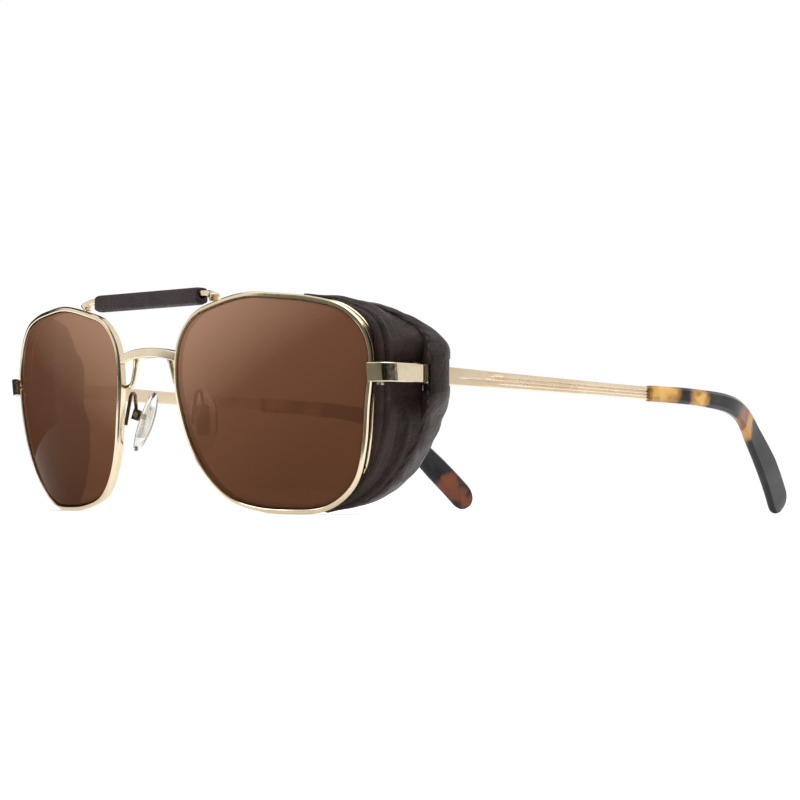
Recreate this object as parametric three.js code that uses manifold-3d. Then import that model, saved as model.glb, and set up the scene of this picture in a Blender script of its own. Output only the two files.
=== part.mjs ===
// Glacier glasses: a wire navigator frame with a leather brow grip and leather side shields.
// Millimetres, +Z up. +X is the wearer's left, the temples run back along +Y, and the
// glasses stand on the bottoms of both rims and on the ends of both temple tips.

import * as THREE from 'three';
import { mergeVertices } from 'three/addons/utils/BufferGeometryUtils.js';
import Module from 'manifold-3d';

const wasm = await Module();
wasm.setup();

// ---------------------------------------------------------------- driving dimensions

const DEG = Math.PI / 180;

// Lens surface: a sphere patch, turned by the face wrap and leaned forward at the top.
const LENS_CENTRE = { x: 37.7, z: 24.95 };
const LENS_CURVE_RADIUS = 85.4;
const FACE_WRAP = 11 * DEG;
const FRONT_LEAN = 7 * DEG;

// Lens outline, seen square on: across (+ towards the temple) and up from the lens centre.
// It starts at the rim's split, level with the end piece, and runs over the top.
const LENS_OUTLINE = [
  [26.1, 5.4], [26.3, 10], [24.5, 15], [20, 19], [13, 21], [4.5, 22], [-4, 22.5], [-13, 21],
  [-20.5, 18.5], [-25, 13.5], [-26.5, 5.5], [-25.5, -2], [-23, -10.5], [-19, -17],
  [-13.5, -21.5], [-6, -23.5], [2, -24], [11, -23.5], [16.5, -21], [20.5, -17],
  [23.5, -9.5], [25, -1.5],
];
const OUTLINE_STEPS = 60;

const RIM = {
  width: 1.15, front: -0.45, back: 1.6, corner: 0.15, grooveDepth: 0.45, grooveHalf: 0.6, split: 0.2,
};
const LENS = { front: 0.05, back: 1.7, gap: 0.15, bevel: 0.25, bevelHalf: 0.45 };
const LENS_INNER_RINGS = [0.1, 0.6];
const LENS_MID = 0.9;

const WIRE_SIDES = 8;
const RAIL = { radius: 0.5, out: 0.85, depth: 2.6, start: 0.15, end: -0.135, points: 14, steps: 26 };

const END_PIECE = { outer: 68.2, thick: 1.1, low: 28.3, high: 32.4, back: 19.45, bevel: 0.2 };
const END_LEVEL = (END_PIECE.low + END_PIECE.high) / 2;
// Its plan, outer and inner face: the end over the rim, the start of the turn, the turn's
// crown, and where the turn ends in the straight side.
const END_OUTER = { end: [63.25, 7.5], turn: [65.6, 8.05], crown: 8.8, side: 11.8 };
const END_INNER = { end: [63, 8.1], turn: [65.2, 9.25], crown: 9.85, side: 11.9 };
const END_LEAN = { full: 10, none: 17 };

// Rim lock: two blocks above and below the rim's split, drawn together by a screw.
const LOCK = { from: 1.3, to: 3.7, back: 2.2, gap: 0.2, height: 1.7, bore: 0.52, axis: 2.6 };
const LOCK_SCREW = {
  radius: 0.45, short: 0.1, head: 0.85, headGap: 0.15, headHeight: 0.4, slot: 0.12, slotDepth: 0.15,
};

// Hinge: the axis stands inside the temple line. The two axes lean slightly opposite ways,
// so that the folded temples pass one above the other.
const HINGE = { x: 65.55, y: 19.6, z: 30.35, radius: 1.15, bore: 0.58, screw: 0.5 };
const KNUCKLE = { half: 1.8, middle: 0.6, gap: 0.1 };
const FRONT_LEAF = { inner: 0.9, outer: 1.5, fore: -5.1, aft: -1.3, web: 0.3, root: -1.6 };
const REAR_LEAF = { inner: 0.65, outer: 1.25, fore: 1.35, aft: 5, trim: 0.3, web: 0.3, root: 1.6 };
const HINGE_SCREW = { tail: 0.1, rise: 0.3, head: 0.95, headHeight: 0.4, slot: 0.13, slotDepth: 0.2 };
const HINGE_LEAN = { left: -3.8 * DEG, right: 0 };

const TEMPLE = { start: 19.75, end: 92.2, x: 67.55, z: 30.3, thick: 1.4 };
const TEMPLE_SPLAY = 0.0188;
const TEMPLE_DROP = 0.027;
const TEMPLE_HEIGHTS = [[19.75, 4], [43, 3.5], [75, 3.05], [92.2, 3]];
const TEMPLE_STATIONS = [19.75, 26, 33, 40, 43, 52, 64, 75, 84, 92.2];
const GROOVE = { start: 40, run: 3, offset: 0.55, half: 0.16, depth: 0.28, least: 0.03 };
const CORE = { thick: 0.9, height: 1.4, share: 0.42, start: 0.001, steps: 8, gap: 0.15 };

// Temple tip centreline, with its height and thickness at the same stations.
const TIP_PATH = [
  [68.9, 92.4, 28.34], [69, 110, 27.9], [67, 125.4, 26.6], [64.2, 133.9, 24.2],
  [61.6, 141.1, 19.5], [59.2, 150.1, 11.7], [56.7, 157.3, 4.4], [55.2, 161.2, -0.4],
];
const TIP_HEIGHTS = [3.75, 3.9, 4.4, 5, 6, 7.4, 7.7, 7.7];
const TIP_THICKNESSES = [2.5, 2.4, 2.4, 2.4, 2.3, 2.3, 2.2, 2.2];
const TIP = { steps: 28, bevel: 0.7, round: 4.6, least: 0.12, thinning: 0.5 };
const TIP_HOLLOW = { steps: 10, past: 0.02, bevel: 0.1, mouth: 1 };
const TIP_FOOT = { low: [40, 140], high: [80, 180], depth: 9 };

const BRIDGE = {
  half: 9.6, z: 35.1, rise: 1.15, y: -0.4, bow: 0.45, height: 2.2, depth: 2.4, bevel: 0.2, steps: 20,
};
const STRUT = { radius: 0.55, steps: 12 };
const STRUT_PATH = [[6.1, 0.3, 34.25], [6.9, 0.4, 32], [7.6, 0.5, 30], [8.1, 0.5, 29.2], [9.4, 0.5, 28.8]];

const BROW = { z: 48.85, y: -1.1, height: 1.3, depth: 1.6, bevel: 0.2, steps: 44 };
const BROW_END = [[0, 0, 0], [19.6, 0, 0], [21.4, 0, -0.15], [23, -0.1, -0.8], [23.6, -0.15, -1.35]];
const SLEEVE = { half: 18.8, z: 48.25, y: -0.9, height: 3.85, depth: 3.3, bevel: 0.9, hollow: 0.25 };

const PAD = {
  centre: [10.5, 6.5, 20.9], width: 7.2, height: 14.4, thick: 1.9, lean: 0.35, sides: 20,
  splay: 30 * DEG, flare: 20 * DEG,
};
// The pad's rings, back to front: share of the outline, and height as a share of half the pad.
const PAD_RINGS = [[0.5, -1], [0.88, -0.72], [1, -0.1], [0.93, 0.55], [0.55, 1]];
const PAD_INSERT = { width: 3, height: 7.4, thick: 0.4, room: 0.15 };
const PAD_BOX = {
  back: 2.5, up: 0.9, width: 1.7, height: 2.4, depth: 1.9, slot: 1.1, floor: 0.4, rear: 0.4,
};
const PAD_LUG = { thick: 0.8, height: 1.2, reach: 0.4 };
const PAD_SCREW = { radius: 0.32, bore: 0.4, head: 0.6, headHeight: 0.4, clear: 0.1, sides: 12 };
const ARM = {
  radius: 0.42, foot: 0.51, footOut: 0.55, footDepth: 2.4, steps: 18, endUp: 0.2, endIn: 0.35,
};
const ARM_PATH = [[12.1, 2.8, 24.5], [12.1, 3.6, 27.4], [12.2, 4.5, 27.4], [12.3, 4.9, 25.5]];

// Leather side shield: from just behind the rail to its rear edge, top to bottom.
const SHIELD = { thick: 1.2, roll: 2.6, out: 0.9, depth: 4, bulge: 0.6, rows: 34, columns: 7 };
// Where the roll begins and is full, and the flat stretch beside the hinge.
const ROLL = { start: 0.72, full: 0.95 };
const FLAT = { middle: 0.44, none: 0.1, full: 0.3 };
const SHIELD_START = 0.16;
const SHIELD_END = -0.225;
const SHIELD_REAR = [
  [47.2, 7.6, 47.3], [51.6, 11.6, 46.6], [56, 17.4, 45.1], [61.8, 23.2, 42], [64.2, 27.4, 38.3],
  [64.5, 29.9, 34.2], [64.4, 30.5, 29.5], [63.6, 30, 24], [62, 29, 18.6], [59.8, 27.3, 14],
  [55.8, 23.4, 7.4], [51, 18.6, 3.4], [46, 13.2, 1.6],
];
const SHIELD_NOTCH = { low: 22, high: 39, back: 16.8 };
const LOOP = { low: 25.2, high: 35.8 };
const LOOP_ROOM = { inner: 66, outer: 68.9, fore: 15, aft: 40, low: 27, high: 33.4 };
const LOOP_PLAN = [[64.2, 22.5], [64.4, 30.9], [66, 31.2], [70.1, 27], [70.2, 21.9], [67.4, 21.5]];

// ---------------------------------------------------------------- materials

function finish(color, roughness, metalness) {
  return new THREE.MeshStandardMaterial({ color, roughness, metalness });
}

const GOLD = finish(0xd9c59a, 0.22, 1);
const STEEL = finish(0xb9b4a8, 0.3, 1);
const LENS_TINT = finish(0x6b4630, 0.05, 0);
const LEATHER = finish(0x3c302c, 0.6, 0);
const TORTOISE = finish(0x3a3634, 0.3, 0);
const CLEAR_PAD = finish(0xe6e6e0, 0.2, 0);

// ---------------------------------------------------------------- solids

function point([x, y, z]) {
  return new THREE.Vector3(x, y, z);
}

function signedVolume(positions, index) {
  const corner = (i) => new THREE.Vector3().fromArray(positions, 3 * index[i]);
  let volume = 0;
  for (let i = 0; i < index.length; i += 3) {
    volume += corner(i).dot(corner(i + 1).cross(corner(i + 2)));
  }
  return volume;
}

// Skins a row of rings of equal length. An open row is closed by a strip across each end,
// which joins each point of the ring to the one opposite.
function skin(rings, looped = false) {
  const count = rings[0].length;
  const positions = rings.flat().flatMap((p) => [p.x, p.y, p.z]);
  const index = [];
  const spans = looped ? rings.length : rings.length - 1;
  for (let r = 0; r < spans; r += 1) {
    const next = (r + 1) % rings.length;
    for (let i = 0; i < count; i += 1) {
      const j = (i + 1) % count;
      const [a, b, c, d] = [r * count + i, r * count + j, next * count + j, next * count + i];
      index.push(a, b, c, a, c, d);
    }
  }
  if (!looped) {
    const last = (rings.length - 1) * count;
    for (let i = 0; i < count / 2 - 1; i += 1) {
      const [p, q, s, t] = [i, i + 1, count - 2 - i, count - 1 - i];
      index.push(p, s, q, p, t, s);
      index.push(last + p, last + q, last + s, last + p, last + s, last + t);
    }
  }
  return oriented(positions, index);
}

function oriented(positions, index) {
  const faces = signedVolume(positions, index) < 0 ? flipped(index) : index;
  const geometry = new THREE.BufferGeometry();
  geometry.setAttribute('position', new THREE.Float32BufferAttribute(positions, 3));
  geometry.setIndex(faces);
  return geometry;
}

function flipped(index) {
  const turned = [];
  for (let i = 0; i < index.length; i += 3) {
    turned.push(index[i], index[i + 2], index[i + 1]);
  }
  return turned;
}

function bare(geometry) {
  const copy = geometry.clone();
  copy.deleteAttribute('normal');
  copy.deleteAttribute('uv');
  return mergeVertices(copy, 1e-4);
}

function mirrored(geometry) {
  const copy = bare(geometry).applyMatrix4(new THREE.Matrix4().makeScale(-1, 1, 1));
  copy.setIndex(flipped(Array.from(copy.index.array)));
  return copy;
}

function toSolid(geometry) {
  const merged = bare(geometry);
  return new wasm.Manifold(new wasm.Mesh({
    numProp: 3,
    vertProperties: new Float32Array(merged.attributes.position.array),
    triVerts: new Uint32Array(merged.index.array),
  }));
}

function fromSolid(solid) {
  const mesh = solid.getMesh();
  const geometry = new THREE.BufferGeometry();
  geometry.setAttribute('position', new THREE.BufferAttribute(mesh.vertProperties, 3));
  geometry.setIndex(new THREE.BufferAttribute(mesh.triVerts, 1));
  return geometry;
}

function joined(...geometries) {
  return fromSolid(geometries.map(toSolid).reduce((a, b) => a.add(b)));
}

function cut(geometry, ...tools) {
  return fromSolid(tools.map(toSolid).reduce((a, b) => a.subtract(b), toSolid(geometry)));
}

// A box from its low and high corner.
function block(low, high) {
  const [a, b] = [point(low), point(high)];
  const size = b.clone().sub(a);
  const centre = a.add(b).multiplyScalar(0.5);
  return new THREE.BoxGeometry(size.x, size.y, size.z).translate(centre.x, centre.y, centre.z);
}

// A cylinder standing along Z between two heights.
function post(radius, low, high, sides = 16) {
  return new THREE.CylinderGeometry(radius, radius, high - low, sides)
    .rotateX(Math.PI / 2)
    .translate(0, 0, (low + high) / 2);
}

function ringShape(radius, sides = WIRE_SIDES) {
  const corners = Array.from({ length: sides }, (_, i) => {
    const angle = (2 * Math.PI * i) / sides;
    return new THREE.Vector2(radius * Math.cos(angle), radius * Math.sin(angle));
  });
  return new THREE.Shape(corners);
}

function wire(points, radius, steps) {
  return new THREE.ExtrudeGeometry(ringShape(radius), {
    extrudePath: new THREE.CatmullRomCurve3(points),
    steps,
    bevelEnabled: false,
  });
}

// A Z-standing extrusion of a plan outline.
function slab(outline, low, high) {
  const shape = new THREE.Shape(outline.map(([x, y]) => new THREE.Vector2(x, y)));
  return new THREE.ExtrudeGeometry(shape, { depth: high - low, bevelEnabled: false })
    .translate(0, 0, low);
}

// Value between stations, by straight lines.
function between(stations, values, at) {
  let i = 0;
  while (i < stations.length - 2 && at > stations[i + 1]) i += 1;
  const share = (at - stations[i]) / (stations[i + 1] - stations[i]);
  return values[i] + (values[i + 1] - values[i]) * Math.min(1, Math.max(0, share));
}

// Corners of an edge-bevelled rectangle, centred, as [across, up].
function bevelledSection(width, height, bevel) {
  const [w, h] = [width / 2, height / 2];
  return [
    [w - bevel, -h], [w, -h + bevel], [w, h - bevel], [w - bevel, h],
    [-w + bevel, h], [-w, h - bevel], [-w, -h + bevel], [-w + bevel, -h],
  ];
}

// ---------------------------------------------------------------- the front's surface

const outline = new THREE.CatmullRomCurve3(
  LENS_OUTLINE.map(([across, up]) => new THREE.Vector3(across, up, 0)), true, 'centripetal',
);
outline.arcLengthDivisions = 1200;

function onFront(across, up) {
  const sag = LENS_CURVE_RADIUS - Math.sqrt(LENS_CURVE_RADIUS ** 2 - across ** 2 - up ** 2);
  const x = across * Math.cos(FACE_WRAP) - sag * Math.sin(FACE_WRAP);
  const y = across * Math.sin(FACE_WRAP) + sag * Math.cos(FACE_WRAP);
  return new THREE.Vector3(
    LENS_CENTRE.x + x,
    y - up * Math.sin(FRONT_LEAN),
    LENS_CENTRE.z + up * Math.cos(FRONT_LEAN),
  );
}

// The surface at a place, with its backward normal and its two directions.
function frontFrame(across, up) {
  const step = 0.01;
  const origin = onFront(across, up);
  const right = onFront(across + step, up).sub(origin).divideScalar(step);
  const rise = onFront(across, up + step).sub(origin).divideScalar(step);
  const back = rise.clone().cross(right).negate().normalize();
  if (back.y < 0) back.negate();
  return { origin, right, rise, back };
}

// A frame on the lens outline: out of the lens, backward, and along the outline.
function edgeFrame(share) {
  const at = ((share % 1) + 1) % 1;
  const place = outline.getPointAt(at);
  const run = outline.getTangentAt(at);
  const { origin, right, rise, back } = frontFrame(place.x, place.y);
  const along = right.clone().multiplyScalar(run.x).addScaledVector(rise, run.y).normalize();
  const out = right.multiplyScalar(run.y).addScaledVector(rise, -run.x);
  out.addScaledVector(along, -out.dot(along)).normalize();
  return { origin, out, back, along };
}

function edgePoint(share, out, depth, along = 0) {
  const frame = edgeFrame(share);
  return frame.origin
    .addScaledVector(frame.out, out)
    .addScaledVector(frame.back, depth)
    .addScaledVector(frame.along, along);
}

// ---------------------------------------------------------------- front parts (left side)

function rim() {
  const { width, front, back, corner, grooveDepth, grooveHalf, split } = RIM;
  const section = [
    [width - corner, front], [width, LENS_MID - grooveHalf], [width, LENS_MID],
    [width, LENS_MID + grooveHalf], [width - corner, back],
    [0, back], [0, LENS_MID + grooveHalf], [grooveDepth, LENS_MID],
    [0, LENS_MID - grooveHalf], [0, front],
  ];
  const gap = split / outline.getLength();
  const rings = [];
  for (let i = 0; i <= OUTLINE_STEPS; i += 1) {
    const share = gap + (i / OUTLINE_STEPS) * (1 - 2 * gap);
    rings.push(section.map(([out, depth]) => edgePoint(share, out, depth)));
  }
  return skin(rings);
}

function lens() {
  const { front, back, gap, bevel, bevelHalf } = LENS;
  const shares = Array.from({ length: OUTLINE_STEPS }, (_, i) => i / OUTLINE_STEPS);
  const edge = (out, depth) => shares.map((share) => edgePoint(share, out, depth));
  const inside = (scale, depth) => shares.map((share) => {
    const place = outline.getPointAt(share).multiplyScalar(scale);
    const { origin, back: normal } = frontFrame(place.x, place.y);
    return origin.addScaledVector(normal, depth);
  });
  const [middle, half] = LENS_INNER_RINGS;
  return skin([
    inside(middle, front), inside(half, front), edge(-gap, front),
    edge(-gap, LENS_MID - bevelHalf), edge(bevel, LENS_MID), edge(-gap, LENS_MID + bevelHalf),
    edge(-gap, back), inside(half, back), inside(middle, back),
  ]);
}

function rail() {
  const points = [];
  for (let i = 0; i <= RAIL.points; i += 1) {
    const share = RAIL.start + (RAIL.end - RAIL.start) * (i / RAIL.points);
    points.push(edgePoint(share, RAIL.out, RAIL.depth));
  }
  return wire(points, RAIL.radius, RAIL.steps);
}

// The end piece leans with the front where it covers the rim, and stands upright at the hinge.
function endPiece() {
  const { outer, thick, low, high, back, bevel } = END_PIECE;
  const inner = outer - thick;
  const plan = new THREE.Shape();
  plan.moveTo(...END_OUTER.end);
  plan.lineTo(...END_OUTER.turn);
  plan.quadraticCurveTo(outer, END_OUTER.crown, outer, END_OUTER.side);
  plan.lineTo(outer, back);
  plan.lineTo(inner, back);
  plan.lineTo(inner, END_INNER.side);
  plan.quadraticCurveTo(inner, END_INNER.crown, ...END_INNER.turn);
  plan.lineTo(...END_INNER.end);
  const geometry = bare(new THREE.ExtrudeGeometry(plan, {
    depth: high - low - 2 * bevel,
    bevelSize: bevel,
    bevelThickness: bevel,
    bevelOffset: -bevel,
    bevelSegments: 1,
    curveSegments: 8,
  }).translate(0, 0, low + bevel));
  const place = geometry.attributes.position;
  for (let i = 0; i < place.count; i += 1) {
    const share = THREE.MathUtils.smoothstep(place.getY(i), END_LEAN.full, END_LEAN.none);
    const lean = (1 - share) * Math.tan(FRONT_LEAN) * (place.getZ(i) - END_LEVEL);
    place.setY(i, place.getY(i) - lean);
  }
  return geometry;
}

// Places a geometry built as x out, y back, z along at the rim's split.
function atSplit(geometry) {
  const { origin, out, back, along } = edgeFrame(0);
  const frame = new THREE.Matrix4().makeBasis(out, back, along).setPosition(origin);
  const placed = bare(geometry).applyMatrix4(frame);
  const volume = signedVolume(Array.from(placed.attributes.position.array), placed.index.array);
  if (volume < 0) placed.setIndex(flipped(Array.from(placed.index.array)));
  return placed;
}

function lockBlock(upper) {
  const { from, to, back, gap, height, bore, axis } = LOCK;
  const [low, high] = upper ? [gap, gap + height] : [-gap - height, -gap];
  const hole = post(bore, low - 1, high + 1).translate(axis, back / 2, 0);
  return atSplit(cut(block([from, 0, low], [to, back, high]), hole));
}

function lockScrew() {
  const { radius, short, head, headGap, headHeight, slot, slotDepth } = LOCK_SCREW;
  const reach = LOCK.gap + LOCK.height;
  const seat = -reach - headGap;
  const face = seat - headHeight;
  const shank = post(radius, seat - headHeight / 2, reach - short);
  const cap = post(head, face, seat);
  const driven = block([-head, -slot, face - slotDepth], [head, slot, face + slotDepth]);
  return atSplit(cut(joined(shank, cap), driven).translate(LOCK.axis, LOCK.back / 2, 0));
}

function bridge() {
  const { half, z, rise, y, bow, height, depth, bevel, steps } = BRIDGE;
  const section = bevelledSection(depth, height, bevel);
  const rings = [];
  for (let i = 0; i <= steps; i += 1) {
    const share = (2 * i) / steps - 1;
    const arch = 1 - share * share;
    rings.push(section.map(([across, up]) => new THREE.Vector3(
      share * half, y - bow * arch + across, z + rise * arch + up,
    )));
  }
  return skin(rings);
}

function strut() {
  return wire(STRUT_PATH.map(point), STRUT.radius, STRUT.steps);
}

function browBar() {
  const right = BROW_END.slice(1).reverse().map(([x, y, z]) => [-x, y, z]);
  const path = [...right, ...BROW_END].map(([x, y, z]) => point([x, y + BROW.y, z + BROW.z]));
  const shape = new THREE.Shape(bevelledSection(BROW.height, BROW.depth, BROW.bevel)
    .map(([across, up]) => new THREE.Vector2(across, up)));
  return new THREE.ExtrudeGeometry(shape, {
    extrudePath: new THREE.CatmullRomCurve3(path),
    steps: BROW.steps,
    bevelEnabled: false,
  });
}

function browSleeve() {
  const { half, z, y, height, depth, bevel, hollow } = SLEEVE;
  const section = bevelledSection(depth, height, bevel);
  const rings = [-half, 0, half].map((x) => section.map(([across, up]) => (
    new THREE.Vector3(x, y + across, z + up)
  )));
  const room = block(
    [-half - 1, BROW.y - BROW.depth / 2 - hollow, BROW.z - BROW.height / 2 - hollow],
    [half + 1, BROW.y + BROW.depth / 2 + hollow, BROW.z + BROW.height / 2 + hollow],
  );
  return cut(skin(rings), room);
}

// ---------------------------------------------------------------- nose pads (left side)

// Pad axes: x from front to back, y down the pad, z towards the nose.
function padFrame(up = 0, back = 0) {
  const across = new THREE.Vector3(Math.sin(PAD.splay), Math.cos(PAD.splay), 0);
  const down = new THREE.Vector3(Math.sin(PAD.flare), 0, -Math.cos(PAD.flare));
  down.addScaledVector(across, -down.dot(across)).normalize();
  const inward = across.clone().cross(down);
  const origin = point(PAD.centre).addScaledVector(down, -up).addScaledVector(inward, -back);
  return new THREE.Matrix4().makeBasis(across, down, inward).setPosition(origin);
}

function padOutline(scale, depth) {
  return Array.from({ length: PAD.sides }, (_, i) => {
    const angle = (2 * Math.PI * (i + 0.5)) / PAD.sides;
    return new THREE.Vector3(
      (PAD.width / 2) * scale * Math.cos(angle) - PAD.lean * Math.sin(angle),
      (PAD.height / 2) * scale * Math.sin(angle),
      depth,
    );
  });
}

function padCup(room) {
  const w = PAD_INSERT.width / 2 + room;
  const h = PAD_INSERT.height / 2 + room;
  const t = PAD_INSERT.thick / 2 + room;
  const plate = block([-w, -h, -t], [w, h, t]);
  const lug = block(
    [-PAD_LUG.thick / 2 - room, -PAD_BOX.up - PAD_LUG.height / 2 - room, -PAD_BOX.back - PAD_LUG.reach],
    [PAD_LUG.thick / 2 + room, -PAD_BOX.up + PAD_LUG.height / 2 + room, 0],
  );
  return joined(plate, lug);
}

function nosePad() {
  const rings = PAD_RINGS.map(([scale, height]) => padOutline(scale, (height * PAD.thick) / 2));
  return cut(skin(rings), padCup(PAD_INSERT.room)).applyMatrix4(padFrame());
}

function padInsert() {
  const hole = post(PAD_SCREW.bore, -PAD_BOX.width, PAD_BOX.width)
    .rotateY(Math.PI / 2)
    .translate(0, -PAD_BOX.up, -PAD_BOX.back);
  return cut(padCup(0), hole).applyMatrix4(padFrame());
}

// The pad arm: a wire loop from the rim, with the slotted box that takes the pad's lug.
function padArm() {
  const foot = edgePoint(ARM.foot, ARM.footOut, ARM.footDepth);
  const { width, height, depth, slot, floor, rear } = PAD_BOX;
  const frame = padFrame(PAD_BOX.up, PAD_BOX.back);
  const end = new THREE.Vector3(0, ARM.endUp - height / 2, ARM.endIn - depth / 2).applyMatrix4(frame);
  const arm = wire([foot, ...ARM_PATH.map(point), end], ARM.radius, ARM.steps);
  const box = block([-width / 2, -height / 2, -depth / 2], [width / 2, height / 2, depth / 2]);
  const mouth = block(
    [-slot / 2, floor - height / 2, rear - depth / 2],
    [slot / 2, height, depth],
  );
  const hole = post(PAD_SCREW.bore, -width, width).rotateY(Math.PI / 2);
  const shell = cut(box, mouth, hole).applyMatrix4(frame);
  const room = bare(mouth).applyMatrix4(frame);
  return joined(cut(arm, room), shell);
}

function padScrew() {
  const { radius, head, headHeight, clear, sides } = PAD_SCREW;
  const end = PAD_BOX.width / 2;
  const seat = end + clear;
  const shank = post(radius, clear - end, seat + headHeight / 2, sides);
  const cap = post(head, seat, seat + headHeight, sides);
  return joined(shank, cap)
    .rotateY(-Math.PI / 2)
    .applyMatrix4(padFrame(PAD_BOX.up, PAD_BOX.back));
}

// ---------------------------------------------------------------- hinge (left side)

function atHinge(geometry, lean) {
  return geometry.rotateX(lean).translate(HINGE.x, HINGE.y, HINGE.z);
}

function frontKnuckles(lean) {
  const { half, middle, gap } = KNUCKLE;
  const { inner, outer, fore, aft, web, root } = FRONT_LEAF;
  const parts = [block([inner, fore, -half], [outer, aft, half])];
  for (const [low, high] of [[-half, -middle - gap], [middle + gap, half]]) {
    parts.push(post(HINGE.radius, low, high), block([web, root, low], [outer, 0, high]));
  }
  return atHinge(cut(joined(...parts), post(HINGE.bore, -2 * half, 2 * half)), lean);
}

function rearKnuckle(lean) {
  const { half, middle } = KNUCKLE;
  const { inner, outer, fore, aft, trim, web, root } = REAR_LEAF;
  const leaf = block([inner, fore, trim - half], [outer, aft, half - trim]);
  const arm = block([web, 0, -middle], [outer, root, middle]);
  const barrel = post(HINGE.radius, -middle, middle);
  return atHinge(cut(joined(leaf, arm, barrel), post(HINGE.bore, -2 * half, 2 * half)), lean);
}

function hingeScrew(lean) {
  const { tail, rise, head, headHeight, slot, slotDepth } = HINGE_SCREW;
  const seat = KNUCKLE.half + KNUCKLE.gap;
  const top = seat + headHeight;
  const shank = post(HINGE.screw, -KNUCKLE.half - tail, KNUCKLE.half + rise);
  const cap = post(head, seat, top);
  const driven = block([-head, -slot, top - slotDepth], [head, slot, top + slotDepth]);
  return atHinge(cut(joined(shank, cap), driven), lean);
}

// ---------------------------------------------------------------- temple (left side)

const tipPath = new THREE.CatmullRomCurve3(TIP_PATH.map(point));

// The level of the rims' lowest point: each tip's end is cut flat here, so the glasses stand.
const GROUND = new THREE.Box3().setFromBufferAttribute(rim().attributes.position).min.z;

// Axes across the tip's flat and up its height, at a share of its length.
function tipFrame(share) {
  const along = tipPath.getTangentAt(share);
  const across = new THREE.Vector3(1, 0, 0);
  across.addScaledVector(along, -across.dot(along)).normalize();
  const up = across.clone().cross(along);
  return { origin: tipPath.getPointAt(share), across, up };
}

function placeSection(section, { origin, across, up }) {
  return section.map(([a, b]) => origin.clone().addScaledVector(across, a).addScaledVector(up, b));
}

// The temple's section: a flat bar with two grooves along its outer face.
function barSection(thick, height, depth) {
  const [t, h] = [thick / 2, height / 2];
  const { offset, half } = GROOVE;
  const levels = [
    [-h, 0], [-offset - half, 0], [-offset, depth], [-offset + half, 0],
    [offset - half, 0], [offset, depth], [offset + half, 0], [h, 0],
  ];
  const outer = levels.map(([up, cutIn]) => [t - cutIn, up]);
  const inner = levels.map(([up]) => [-t, up]).reverse();
  return [...outer, ...inner];
}

function templeFrame(y) {
  const run = y - TEMPLE.start;
  return {
    origin: new THREE.Vector3(TEMPLE.x + TEMPLE_SPLAY * run, y, TEMPLE.z - TEMPLE_DROP * run),
    across: new THREE.Vector3(1, -TEMPLE_SPLAY, 0).normalize(),
    up: new THREE.Vector3(0, TEMPLE_DROP, 1).normalize(),
  };
}

// The core wire's section, with its corners in the bar section's order.
function coreSection() {
  const { thick, height } = CORE;
  const count = barSection(thick, height, 0).length / 2;
  const levels = Array.from({ length: count }, (_, i) => height * (i / (count - 1) - 0.5));
  const outer = levels.map((up) => [thick / 2, up]);
  const inner = levels.map((up) => [-thick / 2, up]).reverse();
  return [...outer, ...inner];
}

// The temple: the flat bar, drawn down to the core wire that runs on inside the tip.
function temple() {
  const [stations, heights] = [0, 1].map((column) => TEMPLE_HEIGHTS.map((row) => row[column]));
  const rings = TEMPLE_STATIONS.map((y) => {
    const share = THREE.MathUtils.clamp((y - GROOVE.start) / GROOVE.run, 0, 1);
    const depth = Math.max(GROOVE.least, GROOVE.depth * share);
    return placeSection(barSection(TEMPLE.thick, between(stations, heights, y), depth), templeFrame(y));
  });
  for (let i = 0; i <= CORE.steps; i += 1) {
    rings.push(placeSection(coreSection(), tipFrame(CORE.start + (CORE.share * i) / CORE.steps)));
  }
  return skin(rings);
}

function templeTip() {
  const stations = TIP_PATH.map((_, i) => i / (TIP_PATH.length - 1));
  const roundShare = TIP.round / tipPath.getLength();
  const rings = [];
  for (let i = 0; i <= TIP.steps; i += 1) {
    const share = i / TIP.steps;
    const t = tipPath.getUtoTmapping(share);
    const left = Math.max(0, (share - 1 + roundShare) / roundShare);
    const close = Math.sqrt(Math.max(TIP.least, 1 - left * left));
    const height = between(stations, TIP_HEIGHTS, t) * close;
    const thick = between(stations, TIP_THICKNESSES, t) * THREE.MathUtils.lerp(1, close, TIP.thinning);
    const bevel = Math.min(TIP.bevel, thick / 3);
    rings.push(placeSection(bevelledSection(thick, height, bevel), tipFrame(share)));
  }
  const [wide, tall] = [CORE.thick + 2 * CORE.gap, CORE.height + 2 * CORE.gap];
  const hollow = Array.from({ length: TIP_HOLLOW.steps + 1 }, (_, i) => (
    placeSection(
      bevelledSection(wide, tall, TIP_HOLLOW.bevel),
      tipFrame(((CORE.share + TIP_HOLLOW.past) * i) / TIP_HOLLOW.steps),
    )
  ));
  const before = hollow[0].map((p) => p.clone().add(new THREE.Vector3(0, -TIP_HOLLOW.mouth, 0)));
  const ground = block([...TIP_FOOT.low, GROUND - TIP_FOOT.depth], [...TIP_FOOT.high, GROUND]);
  return cut(skin(rings), skin([before, ...hollow]), ground);
}

// ---------------------------------------------------------------- leather (left side)

const shieldRear = new THREE.CatmullRomCurve3(SHIELD_REAR.map(point));

// A point of the shield's middle surface: down from top to bottom, back from rail to rear edge.
function onShield(down, back) {
  const share = SHIELD_START + (SHIELD_END - SHIELD_START) * down;
  const front = edgePoint(share, SHIELD.out, SHIELD.depth);
  const rear = shieldRear.getPointAt(down);
  const out = edgeFrame(share).out;
  const away = THREE.MathUtils.smoothstep(Math.abs(down - FLAT.middle), FLAT.none, FLAT.full);
  const swell = SHIELD.bulge * away * Math.sin(Math.PI * back);
  return front.lerp(rear, back).addScaledVector(out, swell);
}

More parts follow.
